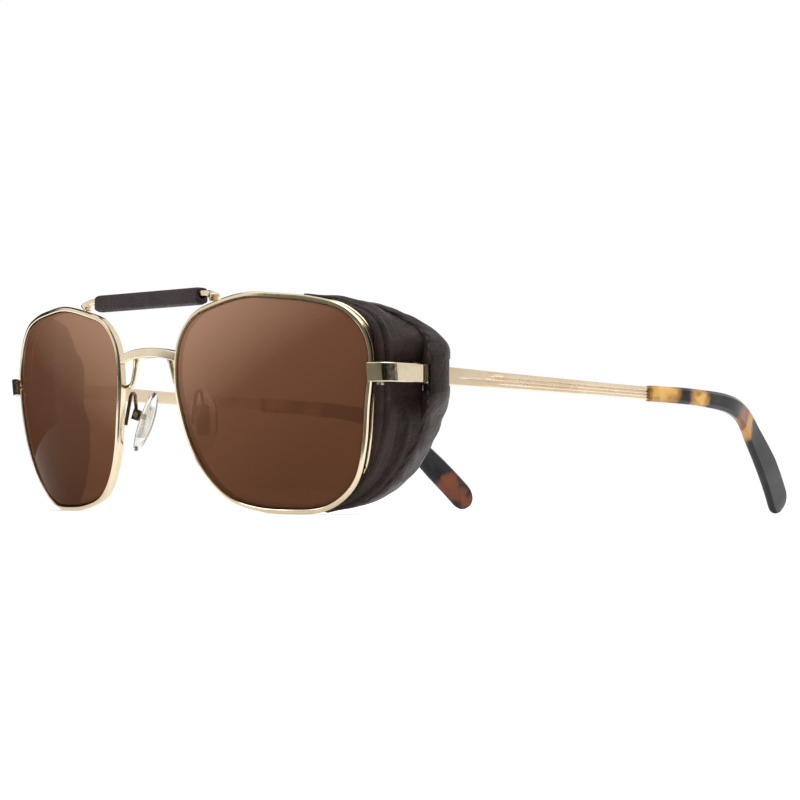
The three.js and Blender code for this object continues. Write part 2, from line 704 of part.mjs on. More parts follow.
function shieldNormal(down, back) {
  const step = 0.004;
  const [low, high] = [Math.max(0, down - step), Math.min(1, down + step)];
  const [fore, aft] = [Math.max(0, back - step), Math.min(1, back + step)];
  const run = onShield(high, back).sub(onShield(low, back));
  const rise = onShield(down, aft).sub(onShield(down, fore));
  return rise.cross(run).normalize();
}

// How far back the panel reaches: all the way, but short of the hinge where the loop takes over.
function panelReach(down) {
  const rear = shieldRear.getPointAt(down);
  if (rear.z < SHIELD_NOTCH.low || rear.z > SHIELD_NOTCH.high) return 1;
  let back = 1;
  while (onShield(down, back).y > SHIELD_NOTCH.back) back -= 0.01;
  return back;
}

function shieldPanel() {
  const rings = [];
  for (let row = 0; row <= SHIELD.rows; row += 1) {
    const down = row / SHIELD.rows;
    const reach = panelReach(down);
    const faces = [[], []];
    for (let column = 0; column <= SHIELD.columns; column += 1) {
      const back = (reach * column) / SHIELD.columns;
      const roll = THREE.MathUtils.smoothstep(back, ROLL.start, ROLL.full);
      const half = (SHIELD.thick + (SHIELD.roll - SHIELD.thick) * roll) / 2;
      const normal = shieldNormal(down, back);
      faces[0].push(onShield(down, back).addScaledVector(normal, half));
      faces[1].push(onShield(down, back).addScaledVector(normal, -half));
    }
    rings.push([...faces[0], ...faces[1].reverse()]);
  }
  return skin(rings);
}

// The loop of the shield's rear roll that the temple passes through.
function shieldLoop() {
  const { inner, outer, fore, aft, low, high } = LOOP_ROOM;
  return cut(slab(LOOP_PLAN, LOOP.low, LOOP.high), block([inner, fore, low], [outer, aft, high]));
}

// ---------------------------------------------------------------- assembly

const assembly = new THREE.Group();

function add(name, geometry, material) {
  const mesh = new THREE.Mesh(bare(geometry), material);
  mesh.name = name;
  assembly.add(mesh);
}

function addSide(side) {
  const place = (name, geometry, material) => {
    add(`${side}_${name}`, side === 'left' ? geometry : mirrored(geometry), material);
  };
  const lean = HINGE_LEAN[side];
  place('rim', rim(), GOLD);
  place('lens', lens(), LENS_TINT);
  place('rim_lock_upper', lockBlock(true), GOLD);
  place('rim_lock_lower', lockBlock(false), GOLD);
  place('rim_lock_screw', lockScrew(), STEEL);
  place('shield_rail', rail(), GOLD);
  place('end_piece', endPiece(), GOLD);
  place('bridge_strut', strut(), GOLD);
  place('pad_arm', padArm(), GOLD);
  place('pad_screw', padScrew(), STEEL);
  place('pad_insert', padInsert(), STEEL);
  place('nose_pad', nosePad(), CLEAR_PAD);
  place('hinge_front', frontKnuckles(lean), GOLD);
  place('hinge_rear', rearKnuckle(lean), GOLD);
  place('hinge_screw', hingeScrew(lean), STEEL);
  place('temple', temple(), GOLD);
  place('temple_tip', templeTip(), TORTOISE);
  place('shield_panel', shieldPanel(), LEATHER);
  place('shield_loop', shieldLoop(), LEATHER);
}

add('bridge', bridge(), GOLD);
add('brow_bar', browBar(), GOLD);
add('brow_sleeve', browSleeve(), LEATHER);
addSide('left');
addSide('right');

// The row's origin is under the middle of the whole object, on the surface it stands on.
const box = new THREE.Box3().setFromObject(assembly);
assembly.position.set(0, -(box.min.y + box.max.y) / 2, -box.min.z);

export default assembly;
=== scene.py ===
"""Glacier glasses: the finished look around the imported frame."""
import math

import bpy
import numpy as np
from mathutils import Matrix, Vector


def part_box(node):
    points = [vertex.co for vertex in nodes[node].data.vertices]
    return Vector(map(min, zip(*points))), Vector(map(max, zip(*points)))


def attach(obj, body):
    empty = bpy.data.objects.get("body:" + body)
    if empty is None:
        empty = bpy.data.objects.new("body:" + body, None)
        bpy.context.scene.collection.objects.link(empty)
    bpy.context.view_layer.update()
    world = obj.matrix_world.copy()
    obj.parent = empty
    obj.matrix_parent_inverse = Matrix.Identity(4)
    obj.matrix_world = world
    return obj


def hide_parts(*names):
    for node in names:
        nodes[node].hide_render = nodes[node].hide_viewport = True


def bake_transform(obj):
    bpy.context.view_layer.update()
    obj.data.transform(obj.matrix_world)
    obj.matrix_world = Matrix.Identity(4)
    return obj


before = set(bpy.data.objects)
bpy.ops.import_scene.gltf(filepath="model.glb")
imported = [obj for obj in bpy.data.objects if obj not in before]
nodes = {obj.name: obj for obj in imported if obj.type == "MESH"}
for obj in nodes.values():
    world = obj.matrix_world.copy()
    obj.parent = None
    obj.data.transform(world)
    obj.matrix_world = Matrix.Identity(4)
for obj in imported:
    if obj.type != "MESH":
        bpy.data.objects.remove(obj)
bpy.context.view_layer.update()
SIDES = {"left": 1, "right": -1}

# ------------------------------------------------------------------ the front's surface (mm)
LENS_CENTRE = (37.7, 24.95)
CURVE_RADIUS = 85.4
WRAP = math.radians(11)
LEAN = math.radians(7)
LENS_OUTLINE = [
    (26.1, 5.4), (26.3, 10), (24.5, 15), (20, 19), (13, 21), (4.5, 22), (-4, 22.5), (-13, 21),
    (-20.5, 18.5), (-25, 13.5), (-26.5, 5.5), (-25.5, -2), (-23, -10.5), (-19, -17),
    (-13.5, -21.5), (-6, -23.5), (2, -24), (11, -23.5), (16.5, -21), (20.5, -17),
    (23.5, -9.5), (25, -1.5)]
PER_SPAN = 40  # rows of a Path between two of its points


class Path:
    """A centripetal Catmull-Rom curve through points, read by share of its length."""

    def __init__(self, points, closed=False):
        p = np.array(points, float)
        if closed:
            p = np.vstack([p[-1], p, p[0], p[1]])
        else:
            p = np.vstack([2 * p[0] - p[1], p, 2 * p[-1] - p[-2]])
        rows = []
        for i in range(1, len(p) - 2):
            a, b, c, d = p[i - 1:i + 3]
            u, v, w = (max(np.linalg.norm(y - x) ** 0.5, 1e-4) for x, y in ((a, b), (b, c), (c, d)))
            m0 = v * ((b - a) / u - (c - a) / (u + v) + (c - b) / v)
            m1 = v * ((c - b) / v - (d - b) / (v + w) + (d - c) / w)
            t = np.linspace(0, 1, PER_SPAN, endpoint=False)[:, None]
            rows.append(b + m0 * t + (3 * (c - b) - 2 * m0 - m1) * t ** 2
                        + (2 * (b - c) + m0 + m1) * t ** 3)
        rows.append(p[-2][None])
        self.rows = np.vstack(rows)
        steps = np.linalg.norm(np.diff(self.rows, axis=0), axis=1)
        self.run = np.concatenate([[0], np.cumsum(steps)])
        self.length = self.run[-1]
        self.closed = closed

    def at(self, share):
        """Points at these shares of the length."""
        s = np.asarray(share, float)
        s = np.mod(s, 1) if self.closed else np.clip(s, 0, 1)
        return np.stack([np.interp(s * self.length, self.run, col) for col in self.rows.T], -1)

    def along(self, share):
        """Directions of travel at these shares of the length."""
        s = np.asarray(share, float)
        step = 0.002
        low, high = s - step, s + step
        if not self.closed:
            low, high = np.maximum(low, 0), np.minimum(high, 1)
        return unit(self.at(high) - self.at(low))


def unit(v):
    return v / np.maximum(np.linalg.norm(v, axis=-1, keepdims=True), 1e-12)


def smooth(x, low, high):
    """0 at low and 1 at high, level past them, with an S between. Low may be the larger."""
    t = np.clip((x - low) / (high - low), 0, 1)
    return t * t * (3 - 2 * t)


outline = Path(LENS_OUTLINE, closed=True)


def on_front(u, v):
    """A place on the front's curved face, across and up from the lens centre, in mm."""
    sag = CURVE_RADIUS - np.sqrt(CURVE_RADIUS ** 2 - u ** 2 - v ** 2)
    x = LENS_CENTRE[0] + u * math.cos(WRAP) - sag * math.sin(WRAP)
    y = u * math.sin(WRAP) + sag * math.cos(WRAP) - v * math.sin(LEAN)
    return np.stack([x, y, LENS_CENTRE[1] + v * math.cos(LEAN)], -1)


def front_frame(u, v):
    """A place on the face, its directions across and up, and its normal, which points back."""
    step = 0.01
    here = on_front(u, v)
    right = (on_front(u + step, v) - here) / step
    rise = (on_front(u, v + step) - here) / step
    return here, right, rise, unit(np.cross(right, rise)) * -1


def edge(share, out, back):
    """Points on the lens edge at these shares, moved out of the lens and backward."""
    share, out, back = np.broadcast_arrays(*(np.asarray(a, float) for a in (share, out, back)))
    uv = outline.at(share)
    d = outline.along(share)
    here, right, rise, normal = front_frame(uv[..., 0], uv[..., 1])
    run = unit(right * d[..., :1] + rise * d[..., 1:])
    away = right * d[..., 1:] - rise * d[..., :1]
    away = unit(away - run * (away * run).sum(-1, keepdims=True))
    return here + away * out[..., None] + normal * back[..., None]


# ------------------------------------------------------------------ mesh building
def build(name, points, faces, material, side, sewn=None):
    """A mesh from points in mm, with its stitches; the right side is the left one mirrored."""
    cut = len(faces)
    if sewn:
        points, faces = joined([(points, faces), sewn[:2]])
    v = np.array(points, float).reshape(-1, 3) + SHIFT
    if side == "right":
        v = v * (-1, 1, 1)
        faces = [tuple(reversed(f)) for f in faces]
    mesh = bpy.data.meshes.new(name)
    mesh.from_pydata((v * 0.001).tolist(), [], [tuple(int(i) for i in f) for f in faces])
    mesh.update()
    mesh.shade_smooth()
    mesh.materials.append(material)
    if sewn:
        mesh.materials.append(sewn[2])
        for polygon in mesh.polygons[cut:]:
            polygon.material_index = 1
    made = bpy.data.objects.new(name, mesh)
    bpy.context.scene.collection.objects.link(made)
    return made


def skin(rings, loop=False):
    """Points and faces of a skin over rings of equal length, closed at its ends or into a loop."""
    rings = np.array(rings, float)
    n, m = rings.shape[:2]
    faces = []
    for r in range(n if loop else n - 1):
        a, b = r * m, ((r + 1) % n) * m
        faces += [(a + i, a + (i + 1) % m, b + (i + 1) % m, b + i) for i in range(m)]
    if not loop:
        faces.append(tuple(range(m - 1, -1, -1)))
        faces.append(tuple((n - 1) * m + i for i in range(m)))
    points = rings.reshape(-1, 3)
    return points, outward(points, faces)


def outward(points, faces):
    """The faces, turned over together if they enclose a negative volume."""
    volume = 0.0
    for f in faces:
        a = points[f[0]]
        for i in range(1, len(f) - 1):
            volume += np.dot(a, np.cross(points[f[i]], points[f[i + 1]]))
    return [tuple(reversed(f)) for f in faces] if volume < 0 else faces


SIDE_SHARE = 0.48  # the most of a polygon's side that one rounded corner takes


def rounded(corners, radius, steps):
    """A polygon with rounded corners: a radius each, or one for all. Corners of 0 stay sharp."""
    c = [np.array(p, float) for p in corners]
    radii = radius if hasattr(radius, "__len__") else [radius] * len(c)
    out = []
    for i, p in enumerate(c):
        r = radii[i]
        if r <= 0:
            out.append(p)
            continue
        a, b = unit(c[i - 1] - p), unit(c[(i + 1) % len(c)] - p)
        half = math.acos(max(-1, min(1, float(a @ b)))) / 2
        reach = min(r / math.tan(half), SIDE_SHARE * np.linalg.norm(c[i - 1] - p),
                    SIDE_SHARE * np.linalg.norm(c[(i + 1) % len(c)] - p))
        for k in range(steps + 1):
            t = k / steps
            out.append((1 - t) ** 2 * (p + a * reach) + 2 * t * (1 - t) * p + t * t * (p + b * reach))
    return np.array(out)


def plate(half_depth, half_height, radius, steps):
    """A rectangle's section with rounded corners."""
    d, h = half_depth, half_height
    return rounded([(d, -h), (d, h), (-d, h), (-d, -h)], radius, steps)


def sweep(centre, across, up, section):
    """Rings of a section carried along a row of frames; section may differ per ring."""
    section = np.asarray(section, float)
    if section.ndim == 2:
        section = np.broadcast_to(section, (len(centre),) + section.shape)
    return (centre[:, None] + across[:, None] * section[..., :1] + up[:, None] * section[..., 1:])


def frames(points, start=(0, 0, 1)):
    """Two directions square to a path at each point, turning as little as possible."""
    p = np.array(points, float)
    t = unit(np.gradient(p, axis=0))
    up = np.array(start, float)
    ups = []
    for d in t:
        up = unit(up - d * (up @ d))
        ups.append(up)
    ups = np.array(ups)
    return np.cross(ups, t), ups


DOME = ((0.95, 0.3), (0.7, 0.7), (0.25, 0.95))  # a wire's end: width and reach, in radii


def circle(sides):
    a = np.linspace(0, 2 * math.pi, sides, endpoint=False)
    return np.stack([np.cos(a), np.sin(a)], -1)


def tube(points, radius, sides, round_ends=True):
    """Points and faces of a round wire along points."""
    p = np.array(points, float)
    r = np.broadcast_to(np.asarray(radius, float), (len(p),)).copy()
    if round_ends:
        t0, t1 = unit(p[0] - p[1]), unit(p[-1] - p[-2])
        head = np.array([p[0] + t0 * r[0] * out for _, out in DOME])[::-1]
        tail = np.array([p[-1] + t1 * r[-1] * out for _, out in DOME])
        head_radius = np.array([r[0] * wide for wide, _ in DOME])[::-1]
        tail_radius = np.array([r[-1] * wide for wide, _ in DOME])
        p, r = np.vstack([head, p, tail]), np.concatenate([head_radius, r, tail_radius])
    across, up = frames(p, (0.1, 0.2, 1))
    section = circle(sides)[None] * r[:, None, None]
    return skin(sweep(p, across, up, section))


def weighted(made):
    """Flat faces shade flat beside their rounded corners."""
    made.modifiers.new("normals", "WEIGHTED_NORMAL").keep_sharp = True


def joined(parts):
    """Several (points, faces) as one."""
    points, faces, start = [], [], 0
    for p, f in parts:
        points.append(np.array(p, float).reshape(-1, 3))
        faces += [tuple(i + start for i in face) for face in f]
        start += len(points[-1])
    return np.vstack(points), faces


# ------------------------------------------------------------------ materials
class Nodes:
    """Short names for building a node material."""

    def __init__(self, name, base, roughness, metallic=0.0):
        self.material = bpy.data.materials.new(name)
        self.material.use_nodes = True
        self.tree = self.material.node_tree
        self.shader = self.tree.nodes["Principled BSDF"]
        self.set("Base Color", (*base, 1))
        self.set("Roughness", roughness)
        self.set("Metallic", metallic)
        self.place = self.new("ShaderNodeTexCoord").outputs["Object"]

    def new(self, kind, **values):
        node = self.tree.nodes.new(kind)
        for key, value in values.items():
            setattr(node, key, value)
        return node

    def set(self, socket, value):
        self.shader.inputs[socket].default_value = value

    def link(self, a, b):
        self.tree.links.new(a, b)

    def math(self, operation, a, b=0.0, clamp=False):
        node = self.new("ShaderNodeMath", operation=operation, use_clamp=clamp)
        for socket, value in zip(node.inputs, (a, b)):
            if hasattr(value, "is_output"):
                self.link(value, socket)
            else:
                socket.default_value = value
        return node.outputs[0]

    def noise(self, scale, detail, roughness=0.5, stretch=None, distortion=0.0):
        node = self.new("ShaderNodeTexNoise")
        node.inputs["Scale"].default_value = scale
        node.inputs["Detail"].default_value = detail
        node.inputs["Roughness"].default_value = roughness
        node.inputs["Distortion"].default_value = distortion
        self.link(self.stretched(stretch), node.inputs["Vector"])
        return node.outputs["Fac"]

    def stretched(self, stretch):
        if stretch is None:
            return self.place
        node = self.new("ShaderNodeMapping")
        node.inputs["Scale"].default_value = stretch
        self.link(self.place, node.inputs["Vector"])
        return node.outputs["Vector"]

    def pores(self, scale):
        """The distance to the nearest edge between cells."""
        node = self.new("ShaderNodeTexVoronoi", feature="DISTANCE_TO_EDGE")
        node.inputs["Scale"].default_value = scale
        self.link(self.place, node.inputs["Vector"])
        return node.outputs["Distance"]

    def ramp(self, value, stops):
        node = self.new("ShaderNodeValToRGB")
        while len(node.color_ramp.elements) < len(stops):
            node.color_ramp.elements.new(0.5)
        for element, (position, colour) in zip(node.color_ramp.elements, stops):
            element.position = position
            element.color = (*colour, 1) if hasattr(colour, "__len__") else (colour,) * 3 + (1,)
        self.link(value, node.inputs["Fac"])
        return node.outputs["Color"]

    def mix(self, share, a, b):
        node = self.new("ShaderNodeMix", data_type="RGBA")
        for socket, value in ((node.inputs[0], share), (node.inputs[6], a), (node.inputs[7], b)):
            if hasattr(value, "is_output"):
                self.link(value, socket)
            elif hasattr(value, "__len__"):
                socket.default_value = (*value, 1)
            else:
                socket.default_value = value
        return node.outputs[2]

    def pushed(self, scale, reach):
        """The place moved about by noise, up to about half the reach in metres each way."""
        noise = self.new("ShaderNodeTexNoise")
        noise.inputs["Scale"].default_value = scale
        self.link(self.place, noise.inputs["Vector"])
        offset = self.new("ShaderNodeVectorMath", operation="MULTIPLY_ADD")
        self.link(noise.outputs["Color"], offset.inputs[0])
        offset.inputs[1].default_value = (reach,) * 3
        offset.inputs[2].default_value = (-reach / 2,) * 3
        total = self.new("ShaderNodeVectorMath", operation="ADD")
        self.link(self.place, total.inputs[0])
        self.link(offset.outputs[0], total.inputs[1])
        return total.outputs[0]

    def spot(self, place, centre, radius, soft, stretch, both):
        """1 near a centre in mm, on one or both sides of the middle, and 0 away from it."""
        split = self.new("ShaderNodeSeparateXYZ")
        self.link(place, split.inputs[0])
        x = self.math("ABSOLUTE", split.outputs[0]) if both else split.outputs[0]
        total = None
        c = (np.array(centre, float) + SHIFT) * 0.001
        for value, at, s in zip((x, split.outputs[1], split.outputs[2]), c, stretch):
            d = self.math("MULTIPLY", self.math("SUBTRACT", value, float(at)), s * 1000 / radius)
            d = self.math("POWER", self.math("ABSOLUTE", d), 2.0)
            total = d if total is None else self.math("ADD", total, d)
        node = self.new("ShaderNodeMapRange", clamp=True, interpolation_type="SMOOTHSTEP")
        self.link(total, node.inputs["Value"])
        node.inputs["From Min"].default_value = (1 - soft) ** 2
        node.inputs["From Max"].default_value = (1 + soft) ** 2
        node.inputs["To Min"].default_value = 1
        node.inputs["To Max"].default_value = 0
        return node.outputs["Result"]

    def bump(self, height, distance, strength, after=None):
        node = self.new("ShaderNodeBump")
        node.inputs["Strength"].default_value = strength
        node.inputs["Distance"].default_value = distance
        self.link(height, node.inputs["Height"])
        if after is not None:
            self.link(after, node.inputs["Normal"])
        return node.outputs["Normal"]

    def to(self, socket, value):
        self.link(value, self.shader.inputs[socket])


def gold_material():
    m = Nodes("champagne_gold", (0.72, 0.6, 0.42), 0.17, 1.0)
    cloud = m.noise(140, 3)
    m.to("Base Color", m.ramp(cloud, [(0.3, (0.70, 0.575, 0.40)), (0.7, (0.79, 0.675, 0.50))]))
    m.to("Roughness", m.ramp(m.noise(900, 4, 0.6), [(0.3, 0.13), (0.75, 0.24)]))
    m.to("Normal", m.bump(m.noise(2600, 2, 0.5, (1, 0.25, 1)), 0.000004, 0.5))
    return m.material


def satin_gold_material():
    m = Nodes("satin_gold", (0.74, 0.6, 0.43), 0.3, 1.0)
    m.to("Base Color", m.ramp(m.noise(120, 3), [(0.3, (0.72, 0.575, 0.41)), (0.7, (0.80, 0.66, 0.49))]))
    brushed = m.noise(3000, 3, 0.6, (1, 0.04, 1))
    m.to("Roughness", m.ramp(brushed, [(0.3, 0.26), (0.7, 0.4)]))
    m.to("Normal", m.bump(brushed, 0.000006, 0.5))
    return m.material


def steel_material():
    m = Nodes("small_steel", (0.62, 0.58, 0.5), 0.25, 1.0)
    m.to("Base Color", m.ramp(m.noise(400, 3), [(0.3, (0.5, 0.46, 0.4)), (0.7, (0.66, 0.62, 0.55))]))
    m.to("Roughness", m.ramp(m.noise(2500, 3), [(0.3, 0.2), (0.7, 0.38)]))
    return m.material


def bronze_material():
    m = Nodes("dark_bronze", (0.2, 0.13, 0.08), 0.3, 1.0)
    m.to("Base Color", m.ramp(m.noise(500, 3), [(0.3, (0.14, 0.09, 0.05)), (0.7, (0.3, 0.2, 0.12))]))
    m.to("Roughness", m.ramp(m.noise(2500, 3), [(0.3, 0.22), (0.7, 0.4)]))
    return m.material


PAINTED_LIGHT_HEIGHT, PAINTED_LIGHT_WIDTH = 0.048, 0.064  # in metres: painted light, the tint is painted lightest high up and at the nose


def lens_material():
    m = Nodes("brown_lens", (0.3, 0.15, 0.09), 0.03)
    m.set("Transmission Weight", 0.52)
    m.set("IOR", 1.06)
    split = m.new("ShaderNodeSeparateXYZ")
    m.link(m.place, split.inputs[0])
    height = m.math("MULTIPLY", split.outputs[2], 1 / PAINTED_LIGHT_HEIGHT)
    wave = m.math("ADD", height, m.math("MULTIPLY", m.noise(18, 2), 0.06))
    sideways = m.math("MULTIPLY", m.math("ABSOLUTE", split.outputs[0]), 1 / PAINTED_LIGHT_WIDTH)
    nasal = m.math("SUBTRACT", 1.0, sideways)
    # Painted light: the tint is painted lighter high up and toward the nose, as the lit part of the lens.
    share = m.math("ADD", m.math("MULTIPLY", wave, 0.62), m.math("MULTIPLY", nasal, 0.5))
    m.to("Base Color", m.ramp(share, [(0.3, (0.125, 0.052, 0.026)), (0.62, (0.165, 0.073, 0.04)),
                                      (0.98, (0.42, 0.245, 0.16))]))
    m.set("Specular IOR Level", 0.04)
    m.to("Roughness", m.ramp(m.noise(60, 2), [(0.3, 0.0), (0.7, 0.01)]))
    return m.material


def leather_material(name, dark, light, wrinkle=1.0):
    m = Nodes(name, dark, 0.5)
    m.set("Sheen Weight", 0.04)
    m.set("Sheen Roughness", 0.4)
    m.set("Specular IOR Level", 0.24)
    cloud = m.noise(90, 4, 0.6)
    base = m.ramp(cloud, [(0.3, dark), (0.72, light)])
    pores = m.pores(1700)
    crease = m.noise(420, 5, 0.65, (1, 1, 0.5), 0.6)
    # Painted shade: the grain's hollows, at the cell edges, are painted darker.
    base = m.mix(m.ramp(pores, [(0.0, 0.45), (0.12, 0.0)]), base, tuple(0.45 * c for c in dark))
    m.to("Base Color", base)
    m.to("Roughness", m.ramp(m.noise(300, 4, 0.6), [(0.3, 0.36), (0.75, 0.52)]))
    grain = m.bump(m.ramp(pores, [(0.0, 0.0), (0.25, 1.0)]), 0.00008, 0.7)
    folds = m.bump(crease, 0.0005 * wrinkle, 0.9, after=grain)
    m.to("Normal", m.bump(m.noise(110, 3, 0.55), 0.0012 * wrinkle, 0.8, after=folds))
    return m.material


def thread_material():
    m = Nodes("thread", (0.03, 0.022, 0.02), 0.55)
    twist = m.noise(5000, 2, 0.5, (1, 0.4, 1))
    m.to("Base Color", m.ramp(twist, [(0.3, (0.02, 0.014, 0.012)), (0.7, (0.06, 0.046, 0.042))]))
    m.to("Normal", m.bump(twist, 0.00003, 0.8))
    return m.material


AMBER, AMBER_CORE = (0.42, 0.22, 0.06), (0.64, 0.38, 0.11)
RUST, DEEP_RUST = (0.2, 0.07, 0.03), (0.17, 0.05, 0.022)
# patches on both tips: centre in mm, radius in mm, squeeze along x, y and z, colour
TIP_PATCHES = (
    ((69.2, 96.5, 28.6), 5.2, (0.5, 1, 1.5), AMBER),
    ((69.2, 96.5, 28.8), 3.6, (0.5, 1, 2.4), AMBER_CORE),
    ((69.0, 110.2, 27.4), 3.5, (0.5, 1, 1.6), AMBER),
    ((69.0, 110.8, 27.6), 1.5, (0.5, 0.7, 2), AMBER_CORE),
    ((67.0, 133.5, 22.6), 3.6, (0.4, 0.9, 0.8), RUST),
    ((66.5, 137.2, 21.8), 2.5, (0.4, 1.6, 0.5), AMBER))
# patches on the right tip only, which the photograph shows from inside
RIGHT_PATCHES = (((-57.6, 153.5, 7.2), 3.3), ((-56.2, 158.0, 3.4), 2.7))
RIGHT_TIP, RIGHT_REACH = (-59.5, 149, 12), 13


def tortoise_material():
    m = Nodes("tortoise", (0.05, 0.045, 0.045), 0.16)
    m.set("Coat Weight", 0.08)
    m.set("Coat Roughness", 0.05)
    m.set("Specular IOR Level", 0.16)
    warp = m.noise(150, 3, 0.6, None, 1.0)
    colour = m.ramp(m.noise(70, 4, 0.55, None, 0.8),
                    [(0.35, (0.007, 0.007, 0.0085)), (0.65, (0.028, 0.024, 0.025))])
    calm, rough = m.pushed(190, 0.005), m.pushed(190, 0.01)
    for centre, radius, stretch, tone in TIP_PATCHES:
        mask = m.spot(calm, centre, radius, 0.45, stretch, True)
        mask = m.math("MULTIPLY", mask, m.math("ADD", m.math("MULTIPLY", warp, 1.1), 0.42), clamp=True)
        colour = m.mix(mask, colour, tone)
    blotch = m.ramp(m.noise(62, 3, 0.5, (1.3, 0.6, 1), 1.4), [(0.56, 0.0), (0.68, 0.75)])
    inner = m.spot(m.place, RIGHT_TIP, RIGHT_REACH, 0.4, (1, 1, 1), False)
    for centre, radius in RIGHT_PATCHES:
        mask = m.spot(rough, centre, radius, 0.45, (0.5, 1, 1), False)
        mask = m.math("MULTIPLY", mask, m.math("ADD", warp, 0.35), clamp=True)
        colour = m.mix(mask, colour, DEEP_RUST)
    colour = m.mix(m.math("MULTIPLY", blotch, m.math("MULTIPLY", inner, 0.6)), colour, RUST)
    m.to("Base Color", colour)
    m.to("Roughness", m.ramp(m.noise(260, 4), [(0.3, 0.12), (0.7, 0.24)]))
    m.to("Normal", m.bump(m.noise(160, 2), 0.00005, 0.35))
    return m.material


def pad_material():
    m = Nodes("clear_pad", (0.93, 0.94, 0.92), 0.12)
    m.set("Transmission Weight", 1.0)
    m.set("IOR", 1.42)
    m.to("Base Color", m.ramp(m.noise(200, 3), [(0.3, (0.9, 0.91, 0.88)), (0.7, (0.96, 0.965, 0.95))]))
    m.to("Roughness", m.ramp(m.noise(700, 3), [(0.3, 0.08), (0.7, 0.2)]))
    return m.material


def floor_material():
    m = Nodes("floor", (0.93, 0.93, 0.93), 0.7)
    m.set("Emission Color", (1, 1, 1, 1))
    m.set("Emission Strength", 0.22)
    m.set("Specular IOR Level", 0.1)
    m.to("Base Color", m.ramp(m.noise(6, 2), [(0.3, (0.925,) * 3), (0.7, (0.94,) * 3)]))
    return m.material


# ------------------------------------------------------------------ front, in metal and glass
RIM_STEPS = 260
RIM_FRONT, RIM_BACK, RIM_WIDTH = -0.45, 1.6, 1.15
RIM_SPLIT = 0.1  # half of the cut that the rim lock closes
GROOVE_HALF, GROOVE_DEPTH = 0.55, 0.42
LENS_MID = 0.9  # how far back the groove and the lens bevel run
LENS_FRONT, LENS_BACK = 0.05, 1.7
LENS_BEVEL = 0.22


def rim_mesh():
    """The eyewire: its section, with the lens groove, carried round the lens edge."""
    w, f, b = RIM_WIDTH, RIM_FRONT, RIM_BACK
    section = rounded(
        [(0.03, f + 0.16), (0.2, f), (w - 0.34, f), (w - 0.2, f + 0.14), (w, f + 0.3), (w, b),
         (0, b), (0, LENS_MID + GROOVE_HALF), (GROOVE_DEPTH, LENS_MID), (0, LENS_MID - GROOVE_HALF)],
        [0.05, 0.1, 0.08, 0.05, 0.12, 0.3, 0.2, 0, 0.05, 0], 4)
    gap = RIM_SPLIT / outline.length
    share = gap + np.linspace(0, 1, RIM_STEPS + 1) * (1 - 2 * gap)
    rings = edge(share[:, None], section[None, :, 0], section[None, :, 1])
    return skin(rings)


def lens_mesh():
    """Both faces of the lens, and the bevel round its edge that sits in the groove."""
    steps = 200
    share = np.arange(steps) / steps
    uv = outline.at(share)

    def inside(scale, back):
        here, _, _, normal = front_frame(uv[:, 0] * scale, uv[:, 1] * scale)
        return here + normal * back

    scales = [0.02, 0.12, 0.25, 0.4, 0.55, 0.7, 0.82, 0.91, 0.965, 0.985]
    side = ((-0.2, 0.08), (-0.13, 0.16), (-0.13, 0.45), (LENS_BEVEL, LENS_MID), (-0.13, 1.3),
            (-0.13, 1.58), (-0.2, 1.66))  # out of the lens edge and back
    rows = [inside(scale, LENS_FRONT) for scale in scales]
    rows += [edge(share, out, back) for out, back in side]
    rows += [inside(scale, LENS_BACK) for scale in reversed(scales)]
    return skin(rows)


BRIDGE_HALF, BRIDGE_END_Y, BRIDGE_END_Z = 10.2, -0.4, 35.0
BRIDGE_BOW, BRIDGE_RISE = 0.45, 1.25  # how far the middle stands forward and up


def bridge_mesh():
    """The arched bar between the rims. Its ends run a little into them."""
    t = np.linspace(-1, 1, 61)
    arch = 1 - t * t
    centre = np.stack([t * BRIDGE_HALF, BRIDGE_END_Y - BRIDGE_BOW * arch,
                       BRIDGE_END_Z + BRIDGE_RISE * arch], -1)
    across, up = frames(centre)
    return skin(sweep(centre, across, up, plate(1.2, 1.1, 0.3, 5)))


STRUT_PATH = [(6.05, 0.2, 34.9), (6.9, 0.4, 32), (7.6, 0.5, 30), (8.1, 0.5, 29.2), (9.8, 0.5, 28.7)]
STRUT_RADIUS, STRUT_FOOT = 0.55, 0.2


def strut_mesh():
    """The wire from under the bridge to the rim, thicker where it is soldered to the bridge."""
    t = np.linspace(0, 1, 40)
    return tube(Path(STRUT_PATH).at(t), STRUT_RADIUS + STRUT_FOOT * smooth(-t, -0.25, 0), 16)


BROW_Y, BROW_Z = -1.1, 48.85
BROW_HALF = [(0, 0, 0), (19.6, 0, 0), (21.4, 0, -0.15), (23, -0.1, -0.8), (23.6, -0.15, -1.35)]


def brow_bar_mesh():
    """The bar over the bridge, with ends that bend down to the rims and widen there."""
    points = [(-x, y, z) for x, y, z in reversed(BROW_HALF[1:])] + BROW_HALF
    t = np.linspace(0, 1, 120)
    centre = Path([(x, y + BROW_Y, z + BROW_Z) for x, y, z in points]).at(t)
    across, up = frames(centre)
    flare = 1 + 0.45 * smooth(np.abs(t - 0.5), 0.455, 0.5)
    return skin(sweep(centre, across, up, plate(0.8, 0.65, 0.3, 4)[None] * flare[:, None, None]))


RAIL_START, RAIL_END = 0.15, -0.135  # shares of the lens edge
RAIL_OUT, RAIL_BACK, RAIL_RADIUS = 1.0, 2.5, 0.6


def rail_mesh():
    """The wire that holds the leather, behind the rim. Its two ends turn in to the rim."""
    t = np.linspace(0, 1, 110)
    share = RAIL_START + (RAIL_END - RAIL_START) * t
    foot = smooth(t, 0.03, 0) + smooth(t, 0.97, 1)
    return tube(edge(share, RAIL_OUT - 0.15 * foot, RAIL_BACK - 0.65 * foot), RAIL_RADIUS, 16)


